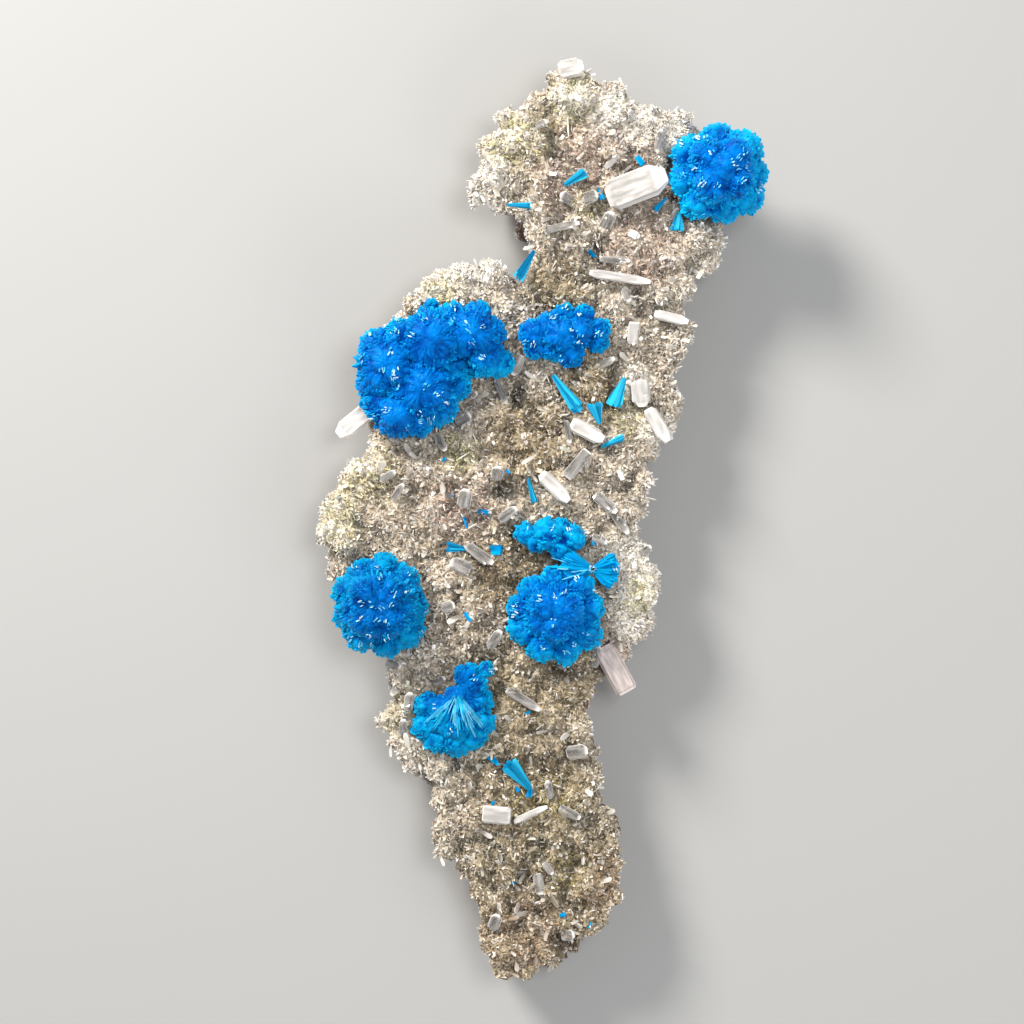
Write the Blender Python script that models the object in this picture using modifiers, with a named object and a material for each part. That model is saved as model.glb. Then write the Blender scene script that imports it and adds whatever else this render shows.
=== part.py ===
"""A natural plate of heulandite druse with cavansite rosettes, at its real size.

The specimen lies on its back. +X is to the right and +Y is up along its length, as it is shown,
and +Z points out of its crystal face. The origin is at the middle of its box, on the base.
Every length below is in millimetres, and mm() turns it to Blender's metres.
"""

import math
import random

import bmesh
import bpy
from mathutils import Euler, Matrix, Vector, noise
from mathutils.bvhtree import BVHTree

# Levels of the plate, above the surface that it lies on
CRUST_LOW = 4.6
CRUST_TOP = 10.4
FACE_LIFT = 1.0
FACE_WAVE = 13.0

# Rock ledges under the crust: from level, to level, how far each stands in from the outline
ROCK_LEDGES = [(-1.0, 1.6, 3.0), (0.9, 3.4, 1.9), (2.6, 5.4, 0.8)]
ROCK_ROUGHNESS = 0.8

# Mesh sizes of the plate
VOXEL = 0.55
EDGE_SMOOTHING = 4
PLATE_TRIANGLES = 2250

# The small tablets of the druse
TABLET_THICKNESS = 0.7

# Pieces that sit in the plate: the rough socket is cut before the plate is brought down to facets,
# and the fine one frees what the facets have closed again
ROUGH_GAP = 0.6
GAP = 0.3

# Rosettes: flat-ended prisms that stand on a faceted core
FACETS_PER_MM2 = 0.60
FEWEST_FACETS = 8
CORE_SHARE = 0.66
PRISM_SHRINK = 0.74

SEED = 7

# The plate's outline, clockwise from its upper tip. Its valleys are here, and the mounds
# that bulge past it are in RIM_MOUNDS.
OUTLINE = [
    (3.4, 54.4), (6.2, 53.0), (8.8, 51.5), (11.2, 50.0), (14.6, 49.2), (17.8, 48.2), (19.8, 46.4),
    (21.4, 43.0), (21.8, 38.5), (21.4, 34.8), (20.9, 31.8), (19.9, 30.0), (18.0, 28.5), (16.9, 26.0),
    (17.4, 22.8), (16.7, 20.2), (15.6, 17.0), (15.7, 15.2), (16.8, 14.3), (15.6, 12.0), (15.0, 10.2),
    (13.1, 9.1), (12.4, 6.2), (12.3, 3.7), (11.7, 3.0), (12.0, 1.0), (10.9, -1.3), (11.3, -3.0),
    (12.9, -4.6), (13.4, -7.0), (12.9, -9.4), (13.1, -11.8), (11.7, -14.1), (10.1, -15.8), (9.4, -17.8),
    (7.4, -19.9), (6.2, -21.2), (5.1, -23.0), (5.1, -25.2), (5.9, -28.0), (6.9, -29.6), (6.8, -32.6),
    (7.4, -35.0), (8.6, -38.0), (9.3, -41.6), (8.8, -44.6), (8.0, -47.0), (6.4, -49.4), (5.0, -51.4),
    (2.6, -53.3), (-0.4, -54.3), (-2.6, -55.5), (-4.8, -55.6), (-6.4, -54.0), (-7.2, -50.4),
    (-7.2, -46.6), (-8.3, -43.8), (-10.2, -41.3), (-12.3, -39.7), (-12.6, -36.4), (-12.2, -33.0),
    (-13.2, -31.6), (-15.8, -30.2), (-16.8, -27.8), (-18.0, -26.0), (-17.6, -23.6), (-17.0, -21.0),
    (-18.0, -17.8), (-18.2, -15.2), (-20.2, -12.4), (-23.6, -9.6), (-25.3, -7.6), (-25.3, -5.4),
    (-24.8, -3.8), (-26.2, -1.8), (-26.4, 0.2), (-24.8, 2.6), (-23.4, 5.0), (-21.6, 7.2), (-19.7, 8.3),
    (-19.7, 9.6), (-20.8, 11.4), (-21.0, 16.0), (-20.4, 20.8), (-18.0, 23.8), (-16.0, 25.8),
    (-14.4, 27.8), (-12.6, 29.3), (-10.6, 29.2), (-8.4, 30.4), (-5.2, 30.2), (-3.0, 28.7),
    (-1.8, 29.2), (-0.6, 31.4), (-0.6, 33.6), (-2.2, 35.4), (-4.2, 37.3), (-6.2, 38.3), (-8.0, 39.2),
    (-7.4, 41.2), (-6.4, 43.0), (-6.6, 45.0), (-5.0, 47.0), (-4.2, 48.8), (-2.4, 48.9), (-0.8, 50.1),
    (0.6, 52.2), (1.8, 53.9),
]

# Rounded mounds of crystals along the rim: x, y, radius
RIM_MOUNDS = [
    (3.4, 53.4, 2.0), (6.0, 52.4, 1.6), (1.3, 52.7, 1.3), (8.6, 50.8, 1.6), (-0.4, 50.4, 1.4),
    (10.8, 50.1, 1.1), (13.0, 49.4, 1.3), (16.2, 48.4, 1.6), (18.2, 47.6, 1.3), (-4.2, 48.5, 1.6),
    (-6.0, 45.2, 1.4), (-6.9, 44.3, 0.9), (-7.0, 41.0, 1.3), (-7.3, 39.6, 1.5), (20.6, 34.2, 1.4),
    (20.0, 32.0, 1.5), (19.0, 30.5, 1.4), (17.0, 27.4, 1.2), (16.8, 23.0, 1.5), (16.0, 19.0, 1.3),
    (15.0, 17.6, 1.1), (14.8, 11.6, 1.6), (11.9, 7.2, 1.2), (11.6, 5.0, 1.2), (11.3, 1.8, 1.3),
    (10.8, -0.2, 1.1), (12.0, -4.6, 1.4), (12.5, -7.0, 1.5), (12.2, -9.6, 1.2), (12.3, -11.7, 1.3),
    (10.6, -13.7, 1.3), (6.5, -29.8, 1.2), (8.9, -46.0, 0.95), (-17.9, -24.2, 1.4), (-25.0, -6.6, 1.3),
    (-26.0, -1.0, 1.4), (-25.6, 1.0, 1.4), (-23.7, 3.6, 1.3), (-22.0, 5.8, 1.6), (-20.6, 6.9, 1.5),
    (-20.4, 10.9, 1.1), (-15.4, 25.8, 1.5), (-13.4, 28.3, 1.7), (-11.6, 28.6, 1.3), (-9.0, 29.4, 1.6),
    (-6.8, 29.7, 1.6), (-4.9, 29.2, 1.4), (-0.7, 29.2, 1.3), (-11.6, -37.2, 1.3), (-7.4, -43.2, 1.0),
]

# The larger swellings of the crystal face: x, y, radius
FACE_MOUNDS = [
    (-2.0, 46.6, 2.6), (4.2, 49.4, 3.0), (7.0, 45.4, 2.6), (12.8, 45.8, 2.8), (0.0, 41.4, 2.8),
    (4.6, 37.4, 2.4), (13.2, 33.4, 2.8), (17.6, 32.6, 2.6), (13.2, 26.4, 2.4), (14.4, 21.0, 2.2),
    (6.0, 18.0, 2.0), (-1.0, 17.4, 1.9), (10.2, 12.2, 2.4), (2.0, 8.4, 2.4), (-4.6, 9.6, 2.4),
    (-9.4, 7.4, 2.6), (-14.8, 7.4, 2.2), (-13.2, 2.4, 2.6), (-21.4, 1.2, 2.8), (6.2, 3.4, 2.8),
    (9.6, 6.2, 2.2), (9.4, 0.0, 2.2), (10.2, -6.6, 2.8), (10.0, -11.0, 2.6), (-8.6, -8.2, 2.0),
    (-9.4, -13.0, 2.4), (-14.2, -17.4, 1.9), (-3.0, -19.6, 2.2), (2.2, -21.0, 2.4), (2.6, -25.4, 2.2),
    (-3.0, -25.4, 2.0), (-14.4, -28.4, 1.8), (0.4, -33.6, 2.8), (3.4, -32.0, 2.4), (-9.2, -36.4, 2.8),
    (-4.0, -40.2, 3.0), (1.4, -38.8, 2.4), (6.0, -39.6, 2.6), (3.2, -43.4, 2.8), (-2.4, -46.4, 2.6),
    (4.2, -48.0, 2.2), (-3.4, -52.0, 2.6),
]

# Hollows and pits between them: x, y, radius, depth
HOLLOWS = [
    (6.4, 31.2, 2.6, 1.3), (-2.8, 15.2, 2.2, 1.4), (-8.0, 13.6, 1.1, 1.8), (9.0, 16.0, 1.2, 1.1),
    (-5.0, 3.4, 1.1, 1.1), (-19.4, -1.4, 0.9, 1.1), (-10.2, -9.6, 0.9, 1.0), (-6.2, -16.2, 1.3, 1.6),
    (-1.9, -4.4, 1.5, 1.4), (1.4, -28.6, 2.4, 1.1), (-9.8, -30.6, 2.4, 1.1), (-1.6, 11.4, 1.1, 1.0),
    (12.6, 22.4, 1.2, 0.8), (3.2, -51.8, 2.6, 1.6), (2.2, -18.2, 1.2, 1.0), (1.8, 44.6, 1.4, 0.9),
]

# Cavansite rosettes: the level where each is seated, and its rounded lobes as x, y, z, radius
ROSETTES = {
    "cavansite_ball_upper_right": (7.6, [(21.3, 41.7, 12.6, 6.5)]),
    "cavansite_cluster_left": (8.9, [
        (-17.2, 18.6, 12.6, 5.0), (-12.0, 21.4, 12.9, 4.6), (-7.9, 22.0, 12.4, 4.0),
        (-14.0, 14.7, 12.7, 4.4), (-17.4, 13.2, 12.0, 4.0), (-6.2, 18.7, 11.6, 2.8),
        (-10.0, 15.8, 11.2, 1.8),
    ]),
    "cavansite_rosette_centre": (9.4, [
        (0.1, 22.2, 11.4, 3.1), (3.2, 21.8, 11.9, 3.5), (6.4, 22.3, 11.4, 2.4), (2.6, 25.0, 11.2, 1.5),
        (5.1, 24.9, 11.1, 1.5), (-1.4, 20.9, 10.8, 1.8),
    ]),
    "cavansite_ball_lower_left": (7.4, [(-19.3, -10.1, 12.4, 6.4)]),
    "cavansite_pair_lower_right": (9.0, [
        (-0.9, -2.0, 11.6, 2.3), (2.6, -1.9, 12.0, 2.5), (2.0, -5.4, 11.2, 2.2),
        (1.8, -10.8, 12.6, 5.0), (-0.6, -12.6, 12.0, 3.4), (4.6, -12.0, 12.0, 3.1),
    ]),
    "cavansite_fan_lower": (9.3, [
        (-8.7, -19.2, 11.4, 2.3), (-9.0, -22.2, 11.5, 2.7), (-12.6, -24.2, 11.0, 2.8),
        (-9.4, -25.4, 11.0, 2.6),
    ]),
}

# Flat cavansite fans: apex x, y, z, then heading, half spread, length and blades, grown onto a rosette
ROSETTE_FANS = {
    "cavansite_pair_lower_right": [((6.1, -6.2, 12.4), -4, 36, 3.3, 4), ((6.3, -6.2, 12.4), 180, 20, 5.2, 3)],
    "cavansite_fan_lower": [((-10.0, -20.8, 12.6), -92, 44, 6.9, 5)],
}

# Single cavansite sheaves: x, y of the thin end, heading, half spread, length, width, thickness, blades
SHEAVES = {
    "cavansite_blade_head": (2.8, 40.2, 32, 6, 3.3, 0.55, 0.5, 2),
    "cavansite_blade_head_left": (-4.1, 37.8, -2, 3, 3.0, 0.34, 0.4, 2),
    "cavansite_prism_notch": (-0.9, 32.3, 240, 6, 4.3, 0.50, 0.6, 2),
    "cavansite_fan_under_ball": (16.5, 36.9, -95, 16, 2.4, 0.44, 0.5, 3),
    "cavansite_sheaf_middle": (1.4, 17.3, -53, 5, 5.8, 0.66, 0.7, 2),
    "cavansite_sheaf_middle_right": (6.9, 11.6, 102, 18, 2.8, 0.46, 0.6, 3),
    "cavansite_bow_right": (9.9, 17.0, -112, 12, 4.1, 0.42, 0.6, 3),
    "cavansite_blade_right": (7.2, 8.8, 24, 4, 3.1, 0.36, 0.4, 2),
    "cavansite_needle_centre": (-1.6, 5.0, -75, 3, 3.4, 0.36, 0.4, 2),
    "cavansite_sheaf_under_crystal": (-8.9, -3.5, 174, 9, 2.7, 0.40, 0.5, 3),
    "cavansite_tuft_under_crystal": (-6.1, -3.3, -20, 30, 1.7, 0.48, 0.6, 3),
    "cavansite_sheaf_foot": (-1.4, -32.2, 132, 11, 4.6, 0.62, 0.9, 3),
}

# Larger heulandite crystals: x, y of the middle, length, width, thickness, heading and rise in degrees,
# and how far the middle stands over the crystal face
CRYSTALS = {
    "heulandite_crystal_apex": (3.6, 54.4, 3.0, 2.3, 1.4, 12, 8, -0.2),
    "heulandite_crystal_large": (11.4, 39.9, 7.6, 3.8, 2.6, 20, 10, 1.4),
    "heulandite_crystal_left_edge": (-22.6, 11.9, 5.2, 2.3, 1.5, 219, 4, -2.2),
    "heulandite_crystal_pink": (8.9, -18.0, 6.2, 2.7, 2.0, -61, 2, -0.6),
    "heulandite_crystal_bright": (1.6, 3.9, 4.7, 1.7, 1.0, -45, 8, 0.7),
    "heulandite_crystal_middle": (5.5, 10.6, 4.4, 1.8, 1.1, -28, 8, 0.7),
    "heulandite_crystal_long": (9.4, 29.1, 7.4, 1.1, 0.8, -9, 4, 0.5),
    "heulandite_crystal_right_rim": (15.6, 24.3, 4.2, 1.2, 0.7, -14, 5, 0.4),
    "heulandite_crystal_block": (11.1, 22.5, 2.6, 1.4, 0.9, 84, 10, 0.4),
    "heulandite_crystal_shoulder": (11.9, 15.2, 3.2, 2.2, 1.2, 96, 10, 0.7),
    "heulandite_crystal_right_end": (14.0, 11.4, 4.6, 1.7, 1.0, -60, 6, 0.5),
    "heulandite_crystal_clear": (-2.9, 18.6, 2.6, 1.2, 0.7, 64, 4, 0.4),
    "heulandite_crystal_coffin": (-7.4, -4.1, 3.9, 1.2, 0.7, -35, 4, 0.9),
    "heulandite_crystal_tablet": (-9.7, -5.5, 2.6, 1.7, 0.9, -20, 6, 0.3),
    "heulandite_crystal_lower": (-2.2, -21.6, 4.7, 1.1, 0.8, -32, 6, 0.5),
    "heulandite_crystal_white_block": (-5.4, -35.4, 3.4, 2.1, 1.3, -4, 6, 0.4),
    "heulandite_crystal_foot": (-1.3, -35.3, 4.4, 0.8, 0.6, 25, 6, 0.5),
    "heulandite_crystal_foot_clear": (3.4, -35.2, 2.8, 1.1, 0.7, -25, 6, 0.3),
    "heulandite_crystal_lower_rim": (-17.3, -20.2, 2.7, 1.0, 0.8, 230, 4, -0.2),
    "heulandite_crystal_waist": (4.3, -27.9, 2.6, 1.7, 0.9, 10, 8, 0.3),
    "heulandite_crystal_grey": (4.3, 6.7, 4.1, 1.4, 0.7, 50, 5, 0.4),
    "heulandite_crystal_right_clear": (7.7, 2.0, 3.4, 1.3, 0.7, -40, 6, 0.4),
}

# Small tablets that are one with the druse: x, y, length, width, heading, rise
TABLETS = [
    (8.0, 36.0, 2.3, 1.5, 60, 30), (5.9, 38.7, 1.8, 1.4, 15, 20), (3.0, 38.6, 1.8, 1.2, 150, 30),
    (2.4, 35.2, 4.4, 0.9, 12, 6), (11.1, 34.2, 1.5, 1.0, -30, 25), (14.1, 45.6, 2.4, 0.9, 78, 15),
    (10.8, 48.4, 1.6, 0.8, 115, 30), (8.8, 31.2, 3.6, 0.8, -4, 6), (10.2, 27.0, 2.0, 1.0, -70, 25),
    (7.4, 18.7, 3.2, 0.9, 28, 10), (3.2, 10.6, 2.8, 0.8, -80, 10), (-4.9, 15.6, 3.6, 0.8, -66, 12),
    (-8.7, 14.9, 2.2, 0.9, 25, 10), (-9.4, 12.2, 2.0, 1.4, 30, 12), (-12.1, 9.3, 2.3, 1.0, -60, 15),
    (9.4, -0.2, 3.6, 1.0, -55, 8), (-5.3, 5.6, 1.7, 1.4, 80, 20), (-9.2, 2.6, 2.3, 1.6, 80, 10),
    (-4.0, 0.7, 2.6, 1.2, 35, 12), (-18.4, 5.3, 2.1, 0.9, 30, 15), (-17.2, 3.4, 2.4, 0.8, 55, 20),
    (7.0, -2.4, 1.9, 1.0, -20, 15), (-11.2, -10.4, 1.7, 1.3, 15, 15), (-5.6, -14.3, 2.6, 1.2, 55, 15),
    (6.6, -16.4, 2.8, 1.0, 80, 12), (-17.8, -17.4, 1.9, 1.0, -15, 15), (-15.9, -21.8, 2.3, 1.2, 80, 10),
    (-16.6, -24.8, 1.9, 1.0, 85, 15), (-12.3, -19.4, 1.7, 0.9, 30, 20), (0.9, -32.4, 2.4, 0.9, 100, 20),
    (-0.3, -43.8, 2.6, 1.2, -80, 15), (3.2, -50.0, 1.7, 1.3, 10, 25), (0.8, -41.8, 1.8, 0.8, -50, 20),
    (-5.6, -48.3, 2.0, 1.4, 70, 15), (12.6, -3.6, 1.6, 0.9, 40, 30), (0.0, 47.5, 1.7, 0.9, 20, 35),
]


def mm(value):
    """A length in millimetres, or a point given as three of them, in Blender's metres."""
    return value * 0.001 if isinstance(value, (int, float)) else Vector(value) * 0.001


def new_collection(name):
    collection = bpy.data.collections.new(name)
    bpy.context.scene.collection.children.link(collection)
    return collection


def new_material(name, colour, roughness, transmission=0.0):
    """A Principled BSDF with one colour, for the solid alone."""
    material = bpy.data.materials.new(name)
    material.use_nodes = True
    shader = material.node_tree.nodes["Principled BSDF"]
    shader.inputs["Base Color"].default_value = (*colour, 1.0)
    shader.inputs["Roughness"].default_value = roughness
    shader.inputs["Transmission Weight"].default_value = transmission
    shader.inputs["IOR"].default_value = 1.5
    material.diffuse_color = (*colour, 1.0)
    return material


def add_object(name, mesh, collection, material=None, place=None):
    thing = bpy.data.objects.new(name, mesh)
    if place is not None:
        thing.matrix_world = place
    if material is not None:
        mesh.materials.append(material)
    collection.objects.link(thing)
    return thing


def add_cutter(name, mesh, collection, place=None):
    cutter = add_object(name, mesh, collection, place=place)
    cutter.hide_render = True
    cutter.display_type = "WIRE"
    return cutter


def mesh_of(name, shape):
    """The bmesh shape as a mesh, with its normals pointing out."""
    bmesh.ops.recalc_face_normals(shape, faces=shape.faces)
    mesh = bpy.data.meshes.new(name)
    shape.to_mesh(mesh)
    shape.free()
    return mesh


def evaluated_mesh(thing, name):
    """What the object's modifiers give, as a new mesh."""
    bpy.context.view_layer.update()
    graph = bpy.context.evaluated_depsgraph_get()
    mesh = bpy.data.meshes.new_from_object(thing.evaluated_get(graph))
    mesh.name = name
    return mesh


def outer_skin(mesh):
    """Keeps the largest closed skin of a mesh, so that no pocket stays sealed inside it."""
    shape = bmesh.new()
    shape.from_mesh(mesh)
    waiting = set(shape.verts)
    skins = []
    while waiting:
        skin = [waiting.pop()]
        for vert in skin:
            for edge in vert.link_edges:
                other = edge.other_vert(vert)
                if other in waiting:
                    waiting.remove(other)
                    skin.append(other)
        skins.append(skin)
    skins.sort(key=len)
    inner = [vert for skin in skins[:-1] for vert in skin]
    bmesh.ops.delete(shape, geom=inner, context="VERTS")
    shape.to_mesh(mesh)
    shape.free()
    return mesh


def mend(mesh):
    """Takes out the few points where a decimated mesh pinches itself, and closes the holes they leave."""
    shape = bmesh.new()
    shape.from_mesh(mesh)
    for _ in range(4):
        pinched = {vert for edge in shape.edges if len(edge.link_faces) > 2 for vert in edge.verts}
        bmesh.ops.delete(shape, geom=list(pinched), context="VERTS")
        loose = [edge for edge in shape.edges if not edge.link_faces]
        bmesh.ops.delete(shape, geom=loose, context="EDGES")
        rim = [edge for edge in shape.edges if len(edge.link_faces) == 1]
        bmesh.ops.holes_fill(shape, edges=rim)
        bmesh.ops.triangulate(shape, faces=shape.faces)
    bmesh.ops.recalc_face_normals(shape, faces=shape.faces)
    shape.to_mesh(mesh)
    shape.free()
    return outer_skin(mesh)


def bake(thing, spent=()):
    """Turns an object's modifiers into its mesh, and removes the objects they used."""
    mesh = outer_skin(evaluated_mesh(thing, thing.name))
    thing.modifiers.clear()
    thing.data = mesh
    for other in spent:
        bpy.data.objects.remove(other)
    return thing


def add_boolean(thing, name, operation, other):
    """A Boolean modifier with one object, or with every object of a collection."""
    modifier = thing.modifiers.new(name, "BOOLEAN")
    modifier.operation = operation
    modifier.solver = "EXACT"
    if isinstance(other, bpy.types.Collection):
        modifier.operand_type = "COLLECTION"
        modifier.collection = other
    else:
        modifier.object = other
    return modifier


def box_mesh(name, low, high):
    """A box between two corners."""
    shape = bmesh.new()
    bmesh.ops.create_cube(shape, size=1.0)
    low, high = mm(low), mm(high)
    for vert in shape.verts:
        vert.co = Vector(low[i] + (vert.co[i] + 0.5) * (high[i] - low[i]) for i in range(3))
    return mesh_of(name, shape)


# The plate

def outline_slab(name, low, high, inset, collection):
    """The outline as a filled curve, drawn in by the inset and extruded from one level to another."""
    curve = bpy.data.curves.new(name, "CURVE")
    curve.dimensions = "2D"
    curve.fill_mode = "BOTH"
    curve.extrude = mm((high - low) / 2)
    curve.offset = -mm(inset)
    spline = curve.splines.new("POLY")
    spline.points.add(len(OUTLINE) - 1)
    for point, (x, y) in zip(spline.points, OUTLINE):
        point.co = (mm(x), mm(y), 0.0, 1.0)
    spline.use_cyclic_u = True
    slab = bpy.data.objects.new(name, curve)
    slab.location = (0.0, 0.0, mm((low + high) / 2))
    collection.objects.link(slab)
    mesh = evaluated_mesh(slab, name)
    solid = add_object(name + "_solid", mesh, collection, place=slab.matrix_world.copy())
    bpy.data.objects.remove(slab)
    return solid


def face_level(x, y):
    """The broad swell of the crystal face over the crust's level, in millimetres."""
    broad = noise.noise(Vector((x / FACE_WAVE, y / FACE_WAVE, 3.7)))
    fine = noise.noise(Vector((x / (FACE_WAVE * 0.35), y / (FACE_WAVE * 0.35), 8.1)))
    return FACE_LIFT * (broad + 0.4 * fine)


def add_mounds(shape, rng):
    """Balls of crystal crust, half sunk in the plate, added to the bmesh."""
    mounds = [(x, y, r, CRUST_TOP - 0.95 * r) for x, y, r in RIM_MOUNDS]
    mounds += [(x, y, r, CRUST_TOP - 0.55 * r + face_level(x, y)) for x, y, r in FACE_MOUNDS]
    for x, y, radius, z in mounds:
        place = Matrix.Translation(mm((x, y, z)))
        squash = Matrix.Diagonal((1.0, 1.0, rng.uniform(0.75, 0.95), 1.0))
        bmesh.ops.create_icosphere(shape, subdivisions=3, radius=mm(radius), matrix=place @ squash)


def hollow_depth(x, y):
    """How far the hollows lower the crystal face at a point, in millimetres."""
    return sum(
        depth * math.exp(-((x - hx) ** 2 + (y - hy) ** 2) / radius**2)
        for hx, hy, radius, depth in HOLLOWS
    )


def shape_relief(mesh):
    """Lets the face swell and sink, and roughens the flanks, by moving the mesh's points."""
    normals = [normal.vector.copy() for normal in mesh.vertex_normals]
    for vert, normal in zip(mesh.vertices, normals):
        x, y, z = (1000 * c for c in vert.co)
        top = min(max((z - CRUST_LOW) / (CRUST_TOP - CRUST_LOW), 0.0), 1.0)
        rough = noise.noise(Vector((x / 2.6, y / 2.6, z / 2.6)))
        chip = noise.noise(Vector((x / 5.0, y / 5.0, z / 3.5 + 20.0)))
        side = Vector((normal.x, normal.y, 0.0)) * (ROCK_ROUGHNESS * (0.5 * rough + chip) * (1.0 - top))
        rise = top * (0.45 * rough - hollow_depth(x, y) + 0.7 * face_level(x, y))
        vert.co += mm(side + Vector((0.0, 0.0, rise)))


def make_plate_blank(work):
    """Rock slab, crystal crust and mounds as one skin, with its face and flanks in relief."""
    rng = random.Random(SEED)
    levels = ROCK_LEDGES + [(CRUST_LOW, CRUST_TOP, 0.0)]
    shape = bmesh.new()
    for low, high, inset in levels:
        slab = outline_slab("slab", low, high, inset, work)
        slab.data.transform(slab.matrix_world)
        shape.from_mesh(slab.data)
        bpy.data.objects.remove(slab)
    add_mounds(shape, rng)
    blank = add_object("plate_blank", mesh_of("plate_blank", shape), work)
    skin = blank.modifiers.new("One skin", "REMESH")
    skin.mode = "VOXEL"
    skin.voxel_size = mm(VOXEL)
    ease = blank.modifiers.new("Ease the edges", "SMOOTH")
    ease.iterations = EDGE_SMOOTHING
    mesh = evaluated_mesh(blank, "plate_relief")
    bpy.data.objects.remove(blank)
    shape_relief(mesh)
    return mesh


def make_plate(mesh, material, parts, work, sockets, tablets):
    """The relief with its sockets cut, brought down to facets, its small tablets and a flat base."""
    plate = add_object("heulandite_druse_plate", mesh, parts, material)
    add_boolean(plate, "Rough sockets", "DIFFERENCE", sockets["rough"])
    bake(plate)
    plate.data.calc_loop_triangles()
    facets = plate.modifiers.new("Facets", "DECIMATE")
    facets.ratio = PLATE_TRIANGLES / len(plate.data.loop_triangles)
    bake(plate)
    mend(plate.data)
    add_boolean(plate, "Tablets", "UNION", tablets)
    add_boolean(plate, "Fine sockets", "DIFFERENCE", sockets["fine"])
    base = add_cutter("base_cutter", box_mesh("base_cutter", (-60, -90, -20), (60, 90, 0)), work)
    add_boolean(plate, "Trim the back", "DIFFERENCE", base)
    bake(plate)
    mend(plate.data)


def face_finder(mesh):
    """A function that gives the crystal face's point and normal over x, y in millimetres."""
    shape = bmesh.new()
    shape.from_mesh(mesh)
    tree = BVHTree.FromBMesh(shape)
    shape.free()

    def find(x, y):
        point, normal, _, _ = tree.ray_cast(mm((x, y, 40.0)), Vector((0.0, 0.0, -1.0)))
        return point, normal

    return find


# Crystals

def coffin_mesh(name, length, width, thickness, bevel):
    """A tabular crystal along +X: a six-sided prism, flattened, with both ends tapered to a smaller face."""
    shape = bmesh.new()
    turn = Matrix.Rotation(math.radians(90), 4, "Y")
    bmesh.ops.create_cone(
        shape, cap_ends=True, segments=6, radius1=0.5, radius2=0.5, depth=1.0, matrix=turn
    )
    shank = 1.0 - 2.0 * bevel
    for vert in shape.verts:
        vert.co.x *= shank
    for end in (-1, 1):
        cap = [f for f in shape.faces if len(f.verts) == 6 and f.normal.x * end > 0.5]
        made = bmesh.ops.extrude_face_region(shape, geom=cap)
        bmesh.ops.delete(shape, geom=cap, context="FACES")
        for vert in made["geom"]:
            if isinstance(vert, bmesh.types.BMVert):
                vert.co = Vector((0.5 * end, vert.co.y * 0.42, vert.co.z * 0.55))
    for vert in shape.verts:
        vert.co = Vector((vert.co.x * length, vert.co.y * width, vert.co.z * thickness)) * 0.001
    return mesh_of(name, shape)


def tablet_mesh(name, length, width, thickness):
    """A small thin crystal: a long hexagon in plan."""
    shape = bmesh.new()
    bmesh.ops.create_cone(shape, cap_ends=True, segments=6, radius1=0.5, radius2=0.5, depth=1.0)
    scale = mm((length, width / math.cos(math.radians(30)), thickness))
    bmesh.ops.scale(shape, verts=shape.verts, vec=scale)
    return mesh_of(name, shape)


def lying(point, heading, rise):
    """A place at a point, with +X turned to the heading and lifted by the rise, in degrees."""
    turn = Euler((0.0, -math.radians(rise), math.radians(heading)), "XYZ")
    return Matrix.Translation(point) @ turn.to_matrix().to_4x4()


def make_crystals(find, material, parts, sockets):
    """The larger heulandite crystals, each with a socket for its foot."""
    for name, (x, y, length, width, thickness, heading, rise, lift) in CRYSTALS.items():
        point, _ = find(x, y)
        if point is None:
            point = mm((x, y, CRUST_TOP))
        point.z += mm(lift)
        bevel = min(0.35 * width / length, 0.22)
        mesh = coffin_mesh(name, length, width, thickness, bevel)
        place = lying(point, heading, rise)
        crystal = add_object(name, mesh, parts, material, place)
        add_socket(crystal, place, sockets)


def make_tablets(find, sockets_for_union):
    """The small tablets that are fused to the druse."""
    for number, (x, y, length, width, heading, rise) in enumerate(TABLETS):
        point, _ = find(x, y)
        if point is None:
            continue
        point.z += mm(0.22)
        mesh = tablet_mesh("tablet", length, width, TABLET_THICKNESS)
        name = f"tablet_{number:02d}"
        add_cutter(name, mesh, sockets_for_union, lying(point, heading, rise))


def add_socket(thing, place, sockets):
    """The boxes round a piece that the plate leaves free; place gives their directions."""
    back = place.inverted() @ thing.matrix_world
    points = [back @ vert.co for vert in thing.data.vertices]
    for kind, gap in (("rough", ROUGH_GAP), ("fine", GAP)):
        low = [1000 * min(p[i] for p in points) - gap for i in range(3)]
        high = [1000 * max(p[i] for p in points) + gap for i in range(3)]
        name = f"{kind}_socket_{thing.name}"
        add_cutter(name, box_mesh(name, low, high), sockets[kind], place)


# Cavansite

def spiral_points(count):
    """Evenly spread directions on a ball, along a golden-angle spiral."""
    golden = math.pi * (3.0 - math.sqrt(5.0))
    for i in range(count):
        z = 1.0 - 2.0 * (i + 0.5) / count
        ring = math.sqrt(1.0 - z * z)
        yield Vector((ring * math.cos(golden * i), ring * math.sin(golden * i), z))


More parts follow.
